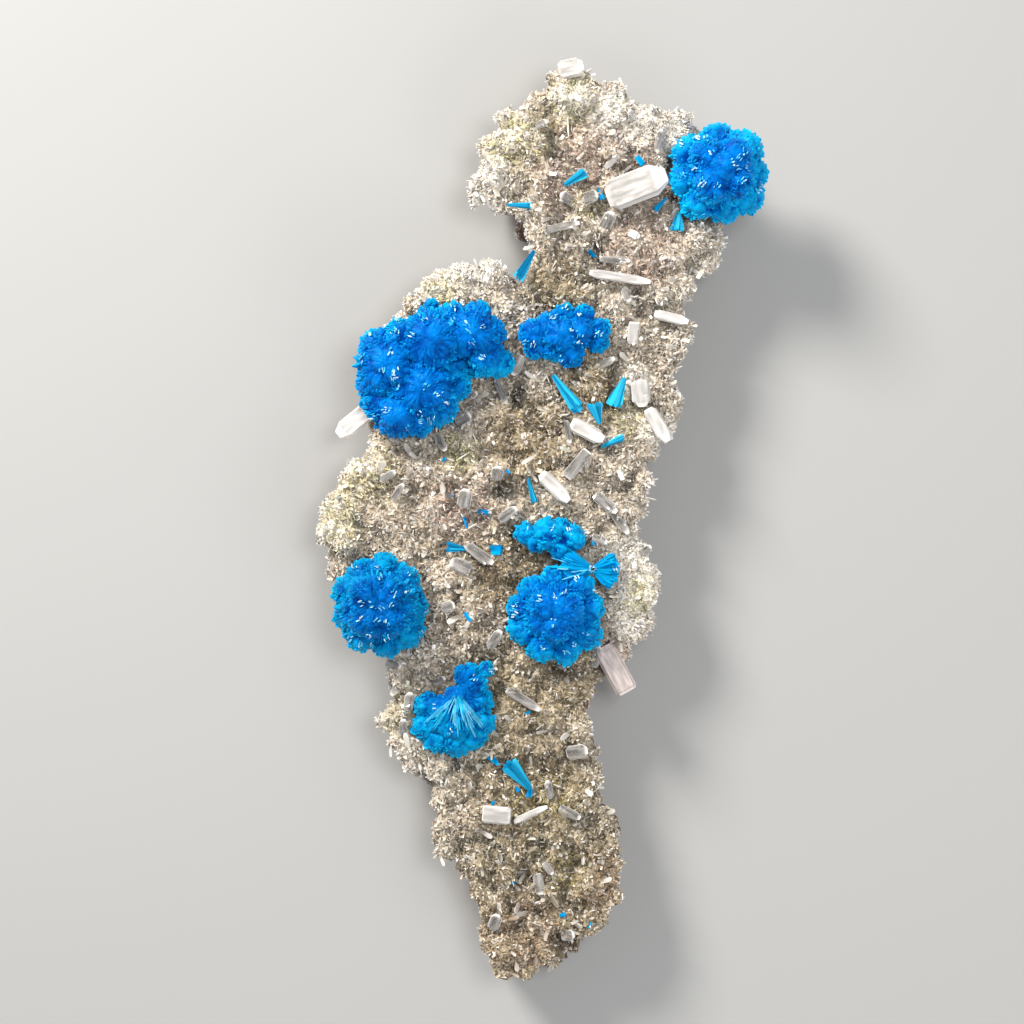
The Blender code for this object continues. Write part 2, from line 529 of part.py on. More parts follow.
def crystal_ball_mesh(name, centre, radius, rng):
    """A rosette's lobe: the hull of spread points, each facet drawn out to a flat-ended prism."""
    shape = bmesh.new()
    count = max(FEWEST_FACETS, round(FACETS_PER_MM2 * radius * radius))
    for direction in spiral_points(count):
        jitter = Vector(rng.uniform(-1, 1) for _ in range(3)) * (0.9 / math.sqrt(count))
        shape.verts.new((direction + jitter).normalized() * radius * CORE_SHARE)
    bmesh.ops.convex_hull(shape, input=shape.verts)
    bmesh.ops.recalc_face_normals(shape, faces=shape.faces)
    bmesh.ops.join_triangles(
        shape, faces=shape.faces, angle_face_threshold=math.pi, angle_shape_threshold=math.pi
    )
    prisms = bmesh.ops.extrude_discrete_faces(shape, faces=shape.faces)["faces"]
    for face in prisms:
        middle = face.calc_center_median()
        reach = radius * rng.uniform(0.92, 1.03) / max(vert.co.length for vert in face.verts)
        for vert in face.verts:
            vert.co = (middle + (vert.co - middle) * PRISM_SHRINK) * reach
    bmesh.ops.triangulate(shape, faces=shape.faces)
    bmesh.ops.scale(shape, verts=shape.verts, vec=(0.001, 0.001, 0.001))
    bmesh.ops.translate(shape, verts=shape.verts, vec=mm(centre))
    return mesh_of(name, shape)


def blade_mesh(name, length, start, end, thickness):
    """A cavansite blade along +X from the origin: a four-sided wedge that widens to a chisel end."""
    shape = bmesh.new()
    bmesh.ops.create_cube(shape, size=1.0)
    for vert in shape.verts:
        far = vert.co.x > 0
        wide, thick = (end, thickness) if far else (start, 0.6 * thickness)
        x = 0.9 * length if far else 0.0
        vert.co = Vector((x, vert.co.y * wide, vert.co.z * thick))
    cap = [f for f in shape.faces if f.normal.x > 0.9]
    made = bmesh.ops.extrude_face_region(shape, geom=cap)
    bmesh.ops.delete(shape, geom=cap, context="FACES")
    for vert in made["geom"]:
        if isinstance(vert, bmesh.types.BMVert):
            vert.co = Vector((length, vert.co.y * 0.55, vert.co.z * 0.4))
    bmesh.ops.scale(shape, verts=shape.verts, vec=(0.001, 0.001, 0.001))
    return mesh_of(name, shape)


def fan_blades(name, apex, heading, spread, length, start, end, thickness, blades, collection, rng):
    """Blades that leave one point, turned evenly over the spread, as separate objects."""
    made = []
    for i in range(blades):
        share = i / (blades - 1) * 2 - 1 if blades > 1 else 0.0
        reach = length * rng.uniform(0.88, 1.0)
        mesh = blade_mesh(name, reach, start, end, thickness)
        place = lying(apex, heading + share * spread, rng.uniform(0, 7))
        made.append(add_cutter(f"{name}_blade_{i}", mesh, collection, place))
    return made


def fused(name, pieces, seat, material, parts):
    """The pieces joined to one solid, cut flat at the seat where one is given."""
    first, others = pieces[0], pieces[1:]
    mesh = first.data.copy()
    mesh.transform(first.matrix_world)
    solid = add_object(name, mesh, parts, material)
    spent = list(pieces)
    if others:
        group = new_collection(name + "_pieces")
        for other in others:
            group.objects.link(other)
        add_boolean(solid, "Grown together", "UNION", group)
    if seat is not None:
        reach = 20.0
        x, y, _ = 1000 * mesh.vertices[0].co
        below = box_mesh("seat", (x - reach, y - reach, -5), (x + reach, y + reach, seat))
        cutter = add_cutter("seat_" + name, below, parts)
        add_boolean(solid, "Seat", "DIFFERENCE", cutter)
        spent.append(cutter)
    bake(solid, spent)
    if others:
        bpy.data.collections.remove(group)
    return solid


def flatten_below(shape, level):
    """Cuts the bmesh flat at a level, and closes it there."""
    geometry = shape.verts[:] + shape.edges[:] + shape.faces[:]
    cut = bmesh.ops.bisect_plane(
        shape, geom=geometry, plane_co=(0, 0, level), plane_no=(0, 0, 1), clear_inner=True
    )
    rim = [edge for edge in cut["geom_cut"] if isinstance(edge, bmesh.types.BMEdge)]
    if rim:
        bmesh.ops.contextual_create(shape, geom=rim)


def make_rosettes(material, parts, work, sockets):
    """The cavansite rosettes, trimmed flat where each is seated in the plate."""
    rng = random.Random(SEED + 1)
    for name, (seat, lobes) in ROSETTES.items():
        pieces = []
        for number, (x, y, z, radius) in enumerate(lobes):
            mesh = crystal_ball_mesh(name, (x, y, z), radius, rng)
            pieces.append(add_cutter(f"{name}_lobe_{number}", mesh, work))
            ball = bmesh.new()
            place = Matrix.Translation(mm((x, y, z)))
            reach = mm(radius * 1.03 + ROUGH_GAP)
            bmesh.ops.create_icosphere(ball, subdivisions=2, radius=reach, matrix=place)
            flatten_below(ball, mm(seat - ROUGH_GAP))
            add_cutter(f"socket_{name}_{number}", mesh_of("socket", ball), sockets["rough"])
        for number, (apex, heading, spread, length, blades) in enumerate(ROSETTE_FANS.get(name, [])):
            fan = fan_blades(
                f"{name}_fan_{number}", mm(apex), heading, spread, length, 0.5, 1.5, 1.0, blades, work, rng
            )
            pieces += fan
            for blade in fan:
                add_socket(blade, blade.matrix_world.copy(), sockets)
        fused(name, pieces, seat, material, parts)


def make_sheaves(find, material, parts, work, sockets):
    """The small cavansite sheaves and blades that lie on the druse."""
    rng = random.Random(SEED + 2)
    for name, (x, y, heading, spread, length, width, thickness, blades) in SHEAVES.items():
        turn = math.radians(heading)
        tip = (x + length * math.cos(turn), y + length * math.sin(turn))
        levels = [find(*p)[0] for p in ((x, y), tip, ((x + tip[0]) / 2, (y + tip[1]) / 2))]
        apex = mm((x, y, 0.0))
        apex.z = max(p.z for p in levels if p is not None) + mm(0.15)
        fan = fan_blades(name, apex, heading, spread, length, width * 0.9, width * 1.5, thickness,
                         blades, work, rng)
        sheaf = fused(name, fan, None, material, parts)
        add_socket(sheaf, lying(apex, heading, 0), sockets)


def main():
    for thing in list(bpy.data.objects):
        bpy.data.objects.remove(thing)
    parts = new_collection("heulandite_specimen")
    work = new_collection("working_shapes")
    fused_tablets = new_collection("fused_tablets")
    sockets = {kind: new_collection(kind + "_sockets") for kind in ("rough", "fine")}

    druse = new_material("heulandite_druse", (0.42, 0.35, 0.28), 0.45)
    clear = new_material("heulandite_crystal", (0.86, 0.82, 0.78), 0.15, 0.4)
    blue = new_material("cavansite", (0.005, 0.18, 0.60), 0.25)

    blank = make_plate_blank(work)
    find = face_finder(blank)
    make_tablets(find, fused_tablets)
    make_rosettes(blue, parts, work, sockets)
    make_sheaves(find, blue, parts, work, sockets)
    make_crystals(find, clear, parts, sockets)

    make_plate(blank, druse, parts, work, sockets, fused_tablets)


main()
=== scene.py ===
"""Looks of a natural plate of heulandite druse with cavansite rosettes, lying on its back.

The crystal face looks up, +Y runs along the plate to its narrow upper tip, and lengths are in
millimetres until new_piece() writes them in metres. Colours are sRGB hex values, turned to
linear by linear(). Shapes are arrays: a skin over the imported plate, and crystals as profiles
carried along their axes.
"""

import bmesh
import bpy
import numpy as np
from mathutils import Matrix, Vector


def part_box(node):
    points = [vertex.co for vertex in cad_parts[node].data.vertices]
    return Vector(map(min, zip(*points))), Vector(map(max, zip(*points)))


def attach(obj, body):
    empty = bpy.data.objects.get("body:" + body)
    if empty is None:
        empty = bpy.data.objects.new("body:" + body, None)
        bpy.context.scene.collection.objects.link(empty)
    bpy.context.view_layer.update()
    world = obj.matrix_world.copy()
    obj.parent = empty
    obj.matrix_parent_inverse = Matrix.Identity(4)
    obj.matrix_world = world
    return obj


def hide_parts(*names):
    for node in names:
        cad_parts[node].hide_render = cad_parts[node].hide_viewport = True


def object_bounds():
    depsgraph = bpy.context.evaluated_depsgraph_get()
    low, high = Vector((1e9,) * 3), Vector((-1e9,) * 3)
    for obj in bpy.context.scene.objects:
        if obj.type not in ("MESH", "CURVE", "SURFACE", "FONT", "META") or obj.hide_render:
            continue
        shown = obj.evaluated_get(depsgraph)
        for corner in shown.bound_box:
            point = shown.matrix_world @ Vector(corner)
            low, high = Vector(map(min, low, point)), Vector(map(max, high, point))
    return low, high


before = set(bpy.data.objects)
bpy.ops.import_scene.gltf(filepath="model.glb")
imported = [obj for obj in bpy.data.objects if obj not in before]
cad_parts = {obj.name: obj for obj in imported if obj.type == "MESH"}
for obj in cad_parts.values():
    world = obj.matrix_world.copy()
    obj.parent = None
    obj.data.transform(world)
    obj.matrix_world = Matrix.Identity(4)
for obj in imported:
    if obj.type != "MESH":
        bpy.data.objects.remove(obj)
CAD_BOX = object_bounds()

MM = 0.001
PLATE = "heulandite_druse_plate"

# How far inside the solids' box the skin and the larger crystals stay
BOX_MARGIN = 0.05

# The skin: its mesh size, how far it lies inside the solid, how much its rim swells, its fine
# roughness, how far the edge of its back is lifted, and the facets and the grain in its material
SKIN_VOXEL = 0.38
SKIN_INSET = 0.10
RIM_SWELL = 0.45
SKIN_ROUGHNESS = 0.10
EDGE_LIFT = 0.45
FACET_SIZE = 0.32
GRAIN_SIZE = 0.9

# The solid's sockets are smoothed away this far round each crystal, in this many passes
SOCKET_MARGIN = 1.0
SOCKET_SMOOTHING = 90

# Passes that give the calm shape from which mounds and hollows are measured
CALM_PASSES = 40

# Round knobs of the crust: pitch and height
KNOBS = [(3.6, 1.25), (1.7, 0.65)]

# The crust: the level where it begins, and how far that wanders over 7 mm and over 2 mm
CRUST_LEVEL = 4.6
CRUST_WANDER = 2.4
CRUST_RAGGED = 1.1

# The druse: how many crystals, the least distance between two, the usual length, how far they
# lean, and the share painted white as sparkle
DRUSE_COUNT = 43000
DRUSE_SPACING = 0.20
DRUSE_LENGTH = 0.37
DRUSE_LEAN = 0.62
DRUSE_SPARKLE = 0.13
DRUSE_BANDS = [("head", 20.0, 90.0), ("middle", -10.0, 20.0), ("foot", -90.0, -10.0)]

# The larger flakes in it
FLAKE_COUNT = 1200
FLAKE_SPACING = 0.6
FLAKE_LENGTH = 1.0
FLAKE_LEAN = 0.75

# The squares in which the height of a surface is read
LEVEL_CELL = 0.2

# Rosettes: the mesh size of a lobe, the least share of its radius that a valley keeps, and how
# deep a crease cuts a lobe of 1 mm
LOBE_GRID = 0.32
VALLEY_FLOOR = 0.84
CREASE_DEPTH = 0.13

# Width and thickness of the blades on a lobe and in a flat fan, how many blades a fan has, and
# its rise in degrees
LOBE_BLADE = (0.85, 0.3)
FAN_BLADE_SIZE = (0.42, 0.2)
FAN_BLADES = 320
FAN_RISE = -6.0

# Bright blades on a rosette, their paleness a painted highlight: how deep they lie, how thick they
# are, and how pale the long ones and the flecks painted as glints may be
STREAK_SINK = 0.06
STREAK_THICKNESS = 0.3
LONG_STREAK_PALENESS = 0.18
GLINT_PALENESS = 0.95
FLECKS_IN_GROUP = 4
FLECK_STEP = 0.17

# Sheaves: how many laths, the narrowest one, and their thickness
SHEAF_LATHS = 14
NARROWEST_LATH = 0.24
LATH_THICKNESS = 0.2

# How far the small laths and the tablets lie above the skin
LATH_LIFT = 0.3
TABLET_LIFT = 0.35

# Veils in the pale crystals: their length and width
VEIL_LENGTH = 2.4
VEIL_WIDTH = 0.5

# Crystal habits, as rings along the axis: share of length, of width and of thickness
SPLINTER = np.array([(-0.25, 0.9, 0.9), (1.0, 0.75, 0.35)])
FLAKE = np.array([(-0.1, 0.7, 0.8), (0.75, 1.0, 1.0), (1.0, 0.5, 0.5)])
BLADE = np.array([(0.55, 1.0, 1.0), (1.0, 0.25, 0.35)])
STREAK = np.array([
    (0.0, 0.4, 1.0), (0.2, 1.0, 1.0), (0.5, 1.0, 1.0), (0.8, 1.0, 1.0), (1.0, 0.3, 1.0),
])
FAN_BLADE = np.array([(0.0, 0.3, 0.6), (0.88, 1.0, 1.0), (1.0, 0.4, 0.4)])
LATH = np.array([(0.0, 0.8, 0.8), (0.93, 1.0, 1.0), (1.0, 0.7, 0.5)])
COFFIN = np.array([(0.0, 0.55, 0.6), (0.12, 1.0, 1.0), (0.78, 1.0, 1.0), (1.0, 0.45, 0.7)])
BLUNT = np.array([(0.0, 0.8, 0.8), (0.12, 1.0, 1.0), (0.93, 1.0, 1.0), (1.0, 0.82, 0.6)])

# Cross-sections: along the top from right to left, then back along the bottom
RECTANGLE = np.array([(0.5, 0.5), (-0.5, 0.5), (-0.5, -0.5), (0.5, -0.5)])
BEVELLED = np.array([
    (0.5, 0.1), (0.39, 0.5), (-0.39, 0.5), (-0.5, 0.1),
    (-0.5, -0.1), (-0.39, -0.5), (0.39, -0.5), (0.5, -0.1),
])

# Small tablets in the druse: x, y, length, width, heading and rise in degrees
TABLETS = np.array([
    (8.0, 36.0, 2.3, 1.5, 60, 30), (5.9, 38.7, 1.8, 1.4, 15, 20), (3.0, 38.6, 1.8, 1.2, 150, 30),
    (2.4, 35.2, 4.4, 0.9, 12, 6), (11.1, 34.2, 1.5, 1.0, -30, 25), (14.1, 45.6, 2.4, 0.9, 78, 15),
    (10.8, 48.4, 1.6, 0.8, 115, 30), (8.8, 31.2, 3.6, 0.8, -4, 6), (10.2, 27.0, 2.0, 1.0, -70, 25),
    (7.4, 18.7, 3.2, 0.9, 28, 10), (3.2, 10.6, 2.8, 0.8, -80, 10), (-4.9, 15.6, 3.6, 0.8, -66, 12),
    (-8.7, 14.9, 2.2, 0.9, 25, 10), (-9.4, 12.2, 2.0, 1.4, 30, 12), (-12.1, 9.3, 2.3, 1.0, -60, 15),
    (9.4, -0.2, 3.6, 1.0, -55, 8), (-5.3, 5.6, 1.7, 1.4, 80, 20), (-9.2, 2.6, 2.3, 1.6, 80, 10),
    (-4.0, 0.7, 2.6, 1.2, 35, 12), (-18.4, 5.3, 2.1, 0.9, 30, 15), (-17.2, 3.4, 2.4, 0.8, 55, 20),
    (7.0, -2.4, 1.9, 1.0, -20, 15), (-11.2, -10.4, 1.7, 1.3, 15, 15),
    (-5.6, -14.3, 2.6, 1.2, 55, 15), (6.6, -16.4, 2.8, 1.0, 80, 12),
    (-17.8, -17.4, 1.9, 1.0, -15, 15), (-15.9, -21.8, 2.3, 1.2, 80, 10),
    (-16.6, -24.8, 1.9, 1.0, 85, 15), (-12.3, -19.4, 1.7, 0.9, 30, 20),
    (0.9, -32.4, 2.4, 0.9, 100, 20), (-0.3, -43.8, 2.6, 1.2, -80, 15),
    (3.2, -50.0, 1.7, 1.3, 10, 25), (0.8, -41.8, 1.8, 0.8, -50, 20),
    (-5.6, -48.3, 2.0, 1.4, 70, 15), (12.6, -3.6, 1.6, 0.9, 40, 30), (0.0, 47.5, 1.7, 0.9, 20, 35),
])

# Rosettes: lobes as x, y, z, radius
ROSETTES = {
    "cavansite_ball_upper_right": [
        (21.2, 41.6, 12.2, 5.0), (21.0, 45.1, 12.2, 2.4), (24.0, 44.2, 12.0, 2.5),
        (25.1, 41.4, 11.8, 2.1), (24.4, 38.9, 11.8, 2.5), (21.8, 37.6, 11.9, 2.2),
        (18.9, 38.2, 12.0, 2.4), (17.3, 40.6, 12.2, 2.2), (17.9, 43.6, 12.3, 2.5),
        (19.6, 43.2, 15.0, 2.3), (22.8, 43.0, 14.9, 2.4), (23.0, 40.0, 14.9, 2.3),
        (20.2, 39.7, 15.2, 2.4), (21.4, 41.6, 15.9, 2.0),
    ],
    "cavansite_cluster_left": [
        (-18.4, 18.4, 12.2, 3.9), (-20.0, 16.4, 11.8, 2.3), (-19.4, 20.6, 12.0, 2.4),
        (-16.6, 21.9, 12.2, 2.3), (-13.2, 21.4, 12.6, 3.9), (-13.4, 23.8, 12.0, 1.9),
        (-10.6, 23.9, 12.2, 2.2), (-8.4, 22.4, 12.4, 3.3), (-7.6, 24.6, 11.8, 1.8),
        (-6.3, 22.4, 11.8, 2.1), (-6.8, 19.6, 11.6, 2.6), (-5.0, 18.8, 11.2, 1.8),
        (-14.0, 15.6, 12.6, 3.8), (-16.6, 16.0, 12.6, 2.6), (-19.6, 14.0, 11.6, 2.2),
        (-17.2, 12.6, 12.0, 3.0), (-14.8, 11.9, 11.6, 2.1), (-12.4, 13.6, 11.8, 2.5),
        (-10.0, 16.0, 11.0, 1.7), (-10.6, 18.2, 10.2, 2.5), (-13.2, 25.7, 11.4, 1.0),
    ],
    "cavansite_rosette_centre": [
        (-0.9, 22.3, 11.2, 1.9), (0.9, 23.0, 11.6, 1.9), (2.3, 22.2, 11.8, 2.5),
        (2.7, 24.7, 11.2, 1.4), (5.0, 24.4, 11.2, 1.5), (4.6, 22.6, 11.6, 2.0),
        (7.0, 22.8, 11.2, 1.5), (6.8, 21.4, 11.0, 1.4), (3.4, 20.1, 11.2, 1.8),
        (1.4, 20.4, 11.1, 1.5), (-0.7, 20.7, 10.9, 1.5),
    ],
    "cavansite_ball_lower_left": [
        (-19.3, -10.2, 12.0, 5.1), (-19.0, -6.3, 11.8, 2.4), (-16.6, -7.5, 11.8, 2.3),
        (-15.6, -10.2, 11.6, 2.1), (-16.4, -13.0, 11.6, 2.4), (-18.6, -14.3, 11.6, 2.3),
        (-21.4, -13.6, 11.7, 2.3), (-23.0, -11.4, 11.7, 2.0), (-22.8, -8.6, 11.8, 2.3),
        (-21.2, -6.6, 11.8, 2.1), (-20.8, -8.8, 14.7, 2.3), (-17.8, -8.9, 14.6, 2.3),
        (-17.9, -11.8, 14.6, 2.3), (-20.8, -11.8, 14.7, 2.2),
    ],
    "cavansite_pair_lower_right": [
        (-2.0, -1.6, 11.3, 1.4), (-0.8, -2.6, 11.2, 1.4), (0.7, -1.6, 11.8, 2.0),
        (2.4, -0.9, 11.4, 1.2), (3.7, -2.2, 11.4, 1.7), (2.2, -3.2, 11.4, 1.6),
        (1.6, -10.8, 12.2, 4.2), (-0.9, -8.7, 11.8, 2.1), (1.6, -7.6, 12.2, 2.2),
        (4.2, -8.0, 12.0, 2.2), (5.6, -10.6, 11.8, 2.0), (5.2, -13.4, 11.6, 2.2),
        (2.8, -15.3, 11.6, 2.1), (0.0, -15.0, 11.6, 2.1), (-2.2, -13.0, 11.6, 2.0),
        (-2.4, -10.6, 11.8, 1.9), (0.4, -10.2, 14.4, 2.1), (2.9, -10.4, 14.4, 2.1),
        (1.7, -12.6, 14.2, 2.1),
    ],
    "cavansite_fan_lower": [
        (-9.0, -18.6, 11.2, 1.6), (-8.2, -19.8, 11.2, 1.8), (-6.7, -18.0, 10.6, 1.1),
        (-9.8, -21.4, 11.2, 1.9), (-7.4, -21.8, 10.7, 1.7), (-11.6, -23.0, 10.9, 2.3),
        (-9.4, -23.4, 11.0, 2.5), (-7.5, -24.4, 10.6, 2.0), (-13.6, -22.3, 10.7, 1.8),
        (-12.2, -24.2, 10.9, 2.2), (-13.9, -24.9, 10.5, 1.8), (-12.4, -26.2, 10.4, 2.0),
        (-10.4, -26.5, 10.5, 2.0), (-10.4, -24.8, 11.0, 2.3), (-8.4, -25.9, 10.4, 1.9),
        (-9.4, -22.0, 11.0, 2.0),
    ],
}

# Flat fans on a rosette: apex, heading, half spread, length
ROSETTE_FANS = {
    "cavansite_pair_lower_right": [
        ((6.0, -5.9, 12.2), -5, 42, 3.3), ((6.2, -6.0, 12.2), 172, 34, 4.2),
    ],
}

# Where the blades of a rosette radiate from, if not from its largest lobes: x, y
ROSETTE_EYES = {"cavansite_fan_lower": [(-10.1, -20.6)]}

# Long blades that lie over a rosette, painted bright as highlights: apex x, y, from and to in
# degrees, how many
LONG_STREAKS = {
    "cavansite_fan_lower": [
        (-10.1, -20.6, 222, 240, 18), (-10.1, -20.6, 258, 272, 8), (-10.1, -20.6, 284, 318, 26),
        (-10.1, -20.6, 214, 322, 24),
    ],
    "cavansite_pair_lower_right": [(6.0, -5.9, 150, 200, 8)],
}

# How light a rosette's blue is, where it differs
ROSETTE_TONES = {
    "cavansite_ball_upper_right": 1.08, "cavansite_ball_lower_left": 0.80,
    "cavansite_fan_lower": 0.85,
}

# Painted glints on each rosette, as groups of short side-by-side pale blades
GLINT_GROUPS = {
    "cavansite_ball_upper_right": 18, "cavansite_cluster_left": 34, "cavansite_rosette_centre": 12,
    "cavansite_ball_lower_left": 20, "cavansite_pair_lower_right": 24, "cavansite_fan_lower": 6,
}

# Small cavansite laths in the druse: x, y, length, width, heading in degrees
SMALL_LATHS = np.array([
    (11.9, 43.05, 1.5, 0.6, -48), (7.1, 39.2, 2.0, 0.4, -61), (6.1, 32.1, 1.6, 0.4, -50),
    (14.2, 37.85, 2.5, 0.5, -130), (-6.85, 0.95, 1.5, 0.5, -4), (-10.9, 2.9, 1.0, 0.4, 20),
    (-9.1, -0.25, 1.5, 0.4, -82), (-8.85, -11.65, 1.3, 0.4, -57), (-11.7, 7.3, 0.7, 0.3, 30),
    (-4.0, 5.8, 0.7, 0.3, -40), (6.2, -2.7, 1.0, 0.3, -85), (2.6, -47.5, 0.9, 0.4, 10),
    (5.9, -48.8, 0.8, 0.3, 70), (-3.4, -43.6, 0.6, 0.3, -20), (-5.8, -34.0, 0.7, 0.3, 50),
    (-2.9, -32.4, 0.9, 0.4, -60), (-1.6, -23.2, 0.7, 0.3, 40), (-5.75, -28.9, 1.9, 0.6, -40),
    (-1.4, -32.7, 1.6, 0.6, -95), (-5.4, -3.7, 1.3, 0.9, 10),
])

# Round patches of the druse: x, y, radius. Yellow, olive and pink ones differ in colour; the dark
# pits are painted shade and the rims painted light
YELLOW_MOUNDS = [
    (3.5, 50.5, 3.0), (-4.0, 46.0, 3.5), (-0.5, 46.0, 2.5), (10.3, 12.2, 2.4), (-1.5, -34.0, 2.4),
    (1.5, -33.0, 2.6), (3.5, -42.5, 2.4), (-13.0, 28.0, 3.0), (-21.0, 6.0, 3.5), (-25.0, -1.0, 3.0),
    (5.6, 37.8, 1.8), (-10.0, 8.0, 2.4), (12.0, -9.0, 2.6), (-25.0, 2.5, 3.0), (-17.5, -23.0, 2.5),
]
# Pits darkened as painted shade
PIT_SHADE = [
    (-8.0, 13.5, 1.0), (-5.0, 3.5, 1.2), (8.5, 16.0, 0.9), (-19.7, -1.2, 0.6), (-10.2, -9.4, 0.7),
    (-6.6, -16.6, 1.3), (-1.5, 11.0, 1.0), (5.4, 31.2, 2.2), (12.6, 26.2, 1.2), (-2.2, -3.6, 1.2),
    (-9.2, -31.0, 1.6), (1.2, -28.8, 1.8), (1.6, 15.6, 1.2), (-2.6, 15.6, 1.6), (2.0, -18.4, 1.4),
    (-3.4, 27.6, 1.2), (1.6, 44.6, 1.2), (-14.6, 7.8, 1.0), (-5.8, -12.4, 1.2), (3.0, -51.6, 2.0),
    (8.6, 5.0, 1.0), (9.4, 20.4, 1.0), (-15.0, -2.4, 1.0), (3.4, -39.6, 1.4), (-4.2, -40.0, 1.2),
]
OLIVE_PATCHES = [
    (-4.0, -22.0, 8.0), (-1.0, -33.0, 9.0), (1.0, -44.0, 12.0), (0.0, -53.0, 10.0),
    (-2.0, 10.0, 5.0), (-4.0, -6.0, 5.0), (2.0, 28.0, 4.0), (6.0, 16.0, 4.0), (3.0, -20.0, 5.0),
    (6.0, -48.0, 5.0),
]
# Rims painted pale, as light falling on them
LIT_RIMS = [
    (11.6, -5.0, 3.6), (11.8, -9.0, 3.8), (10.6, -12.4, 2.0), (3.6, 50.5, 2.4), (8.0, 49.2, 2.6),
    (12.0, 47.6, 2.6), (16.0, 46.4, 2.6), (-4.0, 47.0, 2.4), (-6.0, 42.0, 2.4), (-8.0, 31.0, 3.0),
    (-12.6, 30.0, 3.0), (-4.0, 31.6, 2.4), (-25.6, -0.4, 2.4), (-22.6, 8.0, 2.4), (11.4, 16.6, 2.0),
    (14.0, 11.0, 2.0), (-7.6, 37.0, 2.4),
]
PINK_PATCHES = [
    (6.0, 46.0, 6.0), (14.0, 44.0, 5.0), (12.0, 33.0, 5.0), (4.0, 41.0, 4.0), (10.0, -16.0, 4.0),
    (8.0, -44.0, 4.0), (-2.0, -50.0, 5.0), (-10.0, 2.0, 4.0),
]

# Half the floor's side in metres, the lens, and the camera's place, straight above the plate
FLOOR_REACH = 3.0
LENS = 85.0
CAMERA_PLACE = (-3.54 * MM, 0.96 * MM, 301.0 * MM)

# Lamps, in metres and watts: place, size, power and linear colour, and what they point at
LAMPS = {
    "key": ((-0.22, 0.27, 0.24), 0.13, 2.9, (1.0, 0.97, 0.93)),
    "overhead": ((0.10, 0.05, 0.45), 0.16, 1.0, (0.96, 0.98, 1.0)),
    "fill": ((0.25, -0.30, 0.25), 0.30, 0.8, (1.0, 1.0, 1.0)),
}
LAMPS_AIM = (0, 0, 0.01)

# The sky's linear colour and strength
SKY_COLOUR = (0.9, 0.93, 1.0, 1.0)
SKY_STRENGTH = 0.40


# Numbers, colours and arrays

def read(rows, key, width, kind):
    """One value of all the rows of a mesh, such as its points' places, as an array."""
    values = np.empty(len(rows) * width, kind)
    rows.foreach_get(key, values)
    return values.reshape(-1, width)


def linear(hex_colour):
    """An sRGB hex colour as linear red, green and blue."""
    srgb = np.array([int(hex_colour[i:i + 2], 16) for i in (1, 3, 5)]) / 255.0
    return np.where(srgb <= 0.04045, srgb / 12.92, ((srgb + 0.055) / 1.055) ** 2.4)


# Basalt, the ground of the crust, and that ground paled under the lit rims as painted light
ROCK, GROUND, LIT_RIM_GROUND = (linear(c) for c in ("#6f4b3c", "#afa28f", "#efe8da"))

# The druse's crystals, the painted light of rims, the white painted as sparkle and the painted
# highlight of flake tips; the painted shade at the foot, and what multiplies their tint where the
# druse is olive
TAN, GREY, PINK, YELLOW = (linear(c) for c in ("#dccfbb", "#dbd5c7", "#d3b9aa", "#f0eab0"))
RIM_LIGHT_CREAM, SPARKLE_WHITE, TIP_HIGHLIGHT = (linear(c) for c in ("#fffaee", "#fbf7f0", "#f6f0e8"))
FOOT_SHADE, OLIVE = (linear(c) for c in ("#e0d2c4", "#d2cbb9"))

# Cavansite from the painted shade of its creases to its palest painted glints, and the darkest and
# brightest laths of a sheaf
CREASE_SHADE, AZURE, CYAN = (linear(c) for c in ("#023f8e", "#026fc0", "#069fd8"))
BRIGHT, GLINT_PALE = linear("#1fb6e8"), linear("#dcf8ff")
DARK_LATH, BRIGHT_LATH = linear("#03618f"), linear("#2fb9e4")

# The larger crystals: the faces of the glassy and of the milky ones, and the painted highlight on
# the edges of both
GLASSY_FACE, MILKY_FACE, EDGE_HIGHLIGHT = (linear(c) for c in ("#c8c4be", "#e0ddd8", "#fffdfa"))


def unit(vectors):
    """Each vector divided by its length."""
    return vectors / np.maximum(np.linalg.norm(vectors, axis=-1, keepdims=True), 1e-12)


def blend(one, other, share):
    """one + (other - one) * share, with a share for each row."""
    return one + (other - one) * share[:, None]


def smooth_step(values, low, high):
    """0 below low, 1 above high, and 3t^2 - 2t^3 between them."""
    t = np.clip((values - low) / (high - low), 0.0, 1.0)
    return t * t * (3.0 - 2.0 * t)


def noise(points, scale, seed):
    """Value noise from -1 to 1: random numbers on a lattice, blended between its corners.

    A number is the corner's x, y, z and the seed, each times a large prime, mixed by shifts and
    products in 32 bits.
    """
    place = points / scale
    cell = np.floor(place).astype(np.int64)
    share = place - cell
    share = share * share * (3.0 - 2.0 * share)
    total = np.zeros(len(points))
    for corner in np.ndindex(2, 2, 2):
        x, y, z = (cell + corner).T
        code = (x * 73856093) ^ (y * 19349663) ^ (z * 83492791) ^ (seed * 2654435761)
        code = (code & 0xFFFFFFFF).astype(np.uint64)
        code = ((code ^ (code >> np.uint64(15))) * np.uint64(2246822519)) & np.uint64(0xFFFFFFFF)
        code = ((code ^ (code >> np.uint64(13))) * np.uint64(3266489917)) & np.uint64(0xFFFFFFFF)
        value = (code ^ (code >> np.uint64(16))) / 2147483647.5 - 1.0
        weight = np.prod(np.where(np.array(corner) == 1, share, 1.0 - share), axis=1)
        total += value * weight
    return total


def knobs(points, pitch, seed):
    """Round knobs: 1 - (distance / 0.62 pitch)^2 from the nearest of many shaken lattice points."""
    place = points / pitch
    cell = np.floor(place).astype(np.int64)
    nearest = np.full(len(points), 9.0)
    for step in np.ndindex(3, 3, 3):
        corner = cell + step - 1
        spot = corner + 0.5 + 0.38 * np.stack(
            [noise(corner.astype(float), 1.0, seed + k) for k in range(3)], axis=1
        )
        nearest = np.minimum(nearest, np.linalg.norm(place - spot, axis=1))
    return 1.0 - np.minimum(nearest / 0.62, 1.0) ** 2


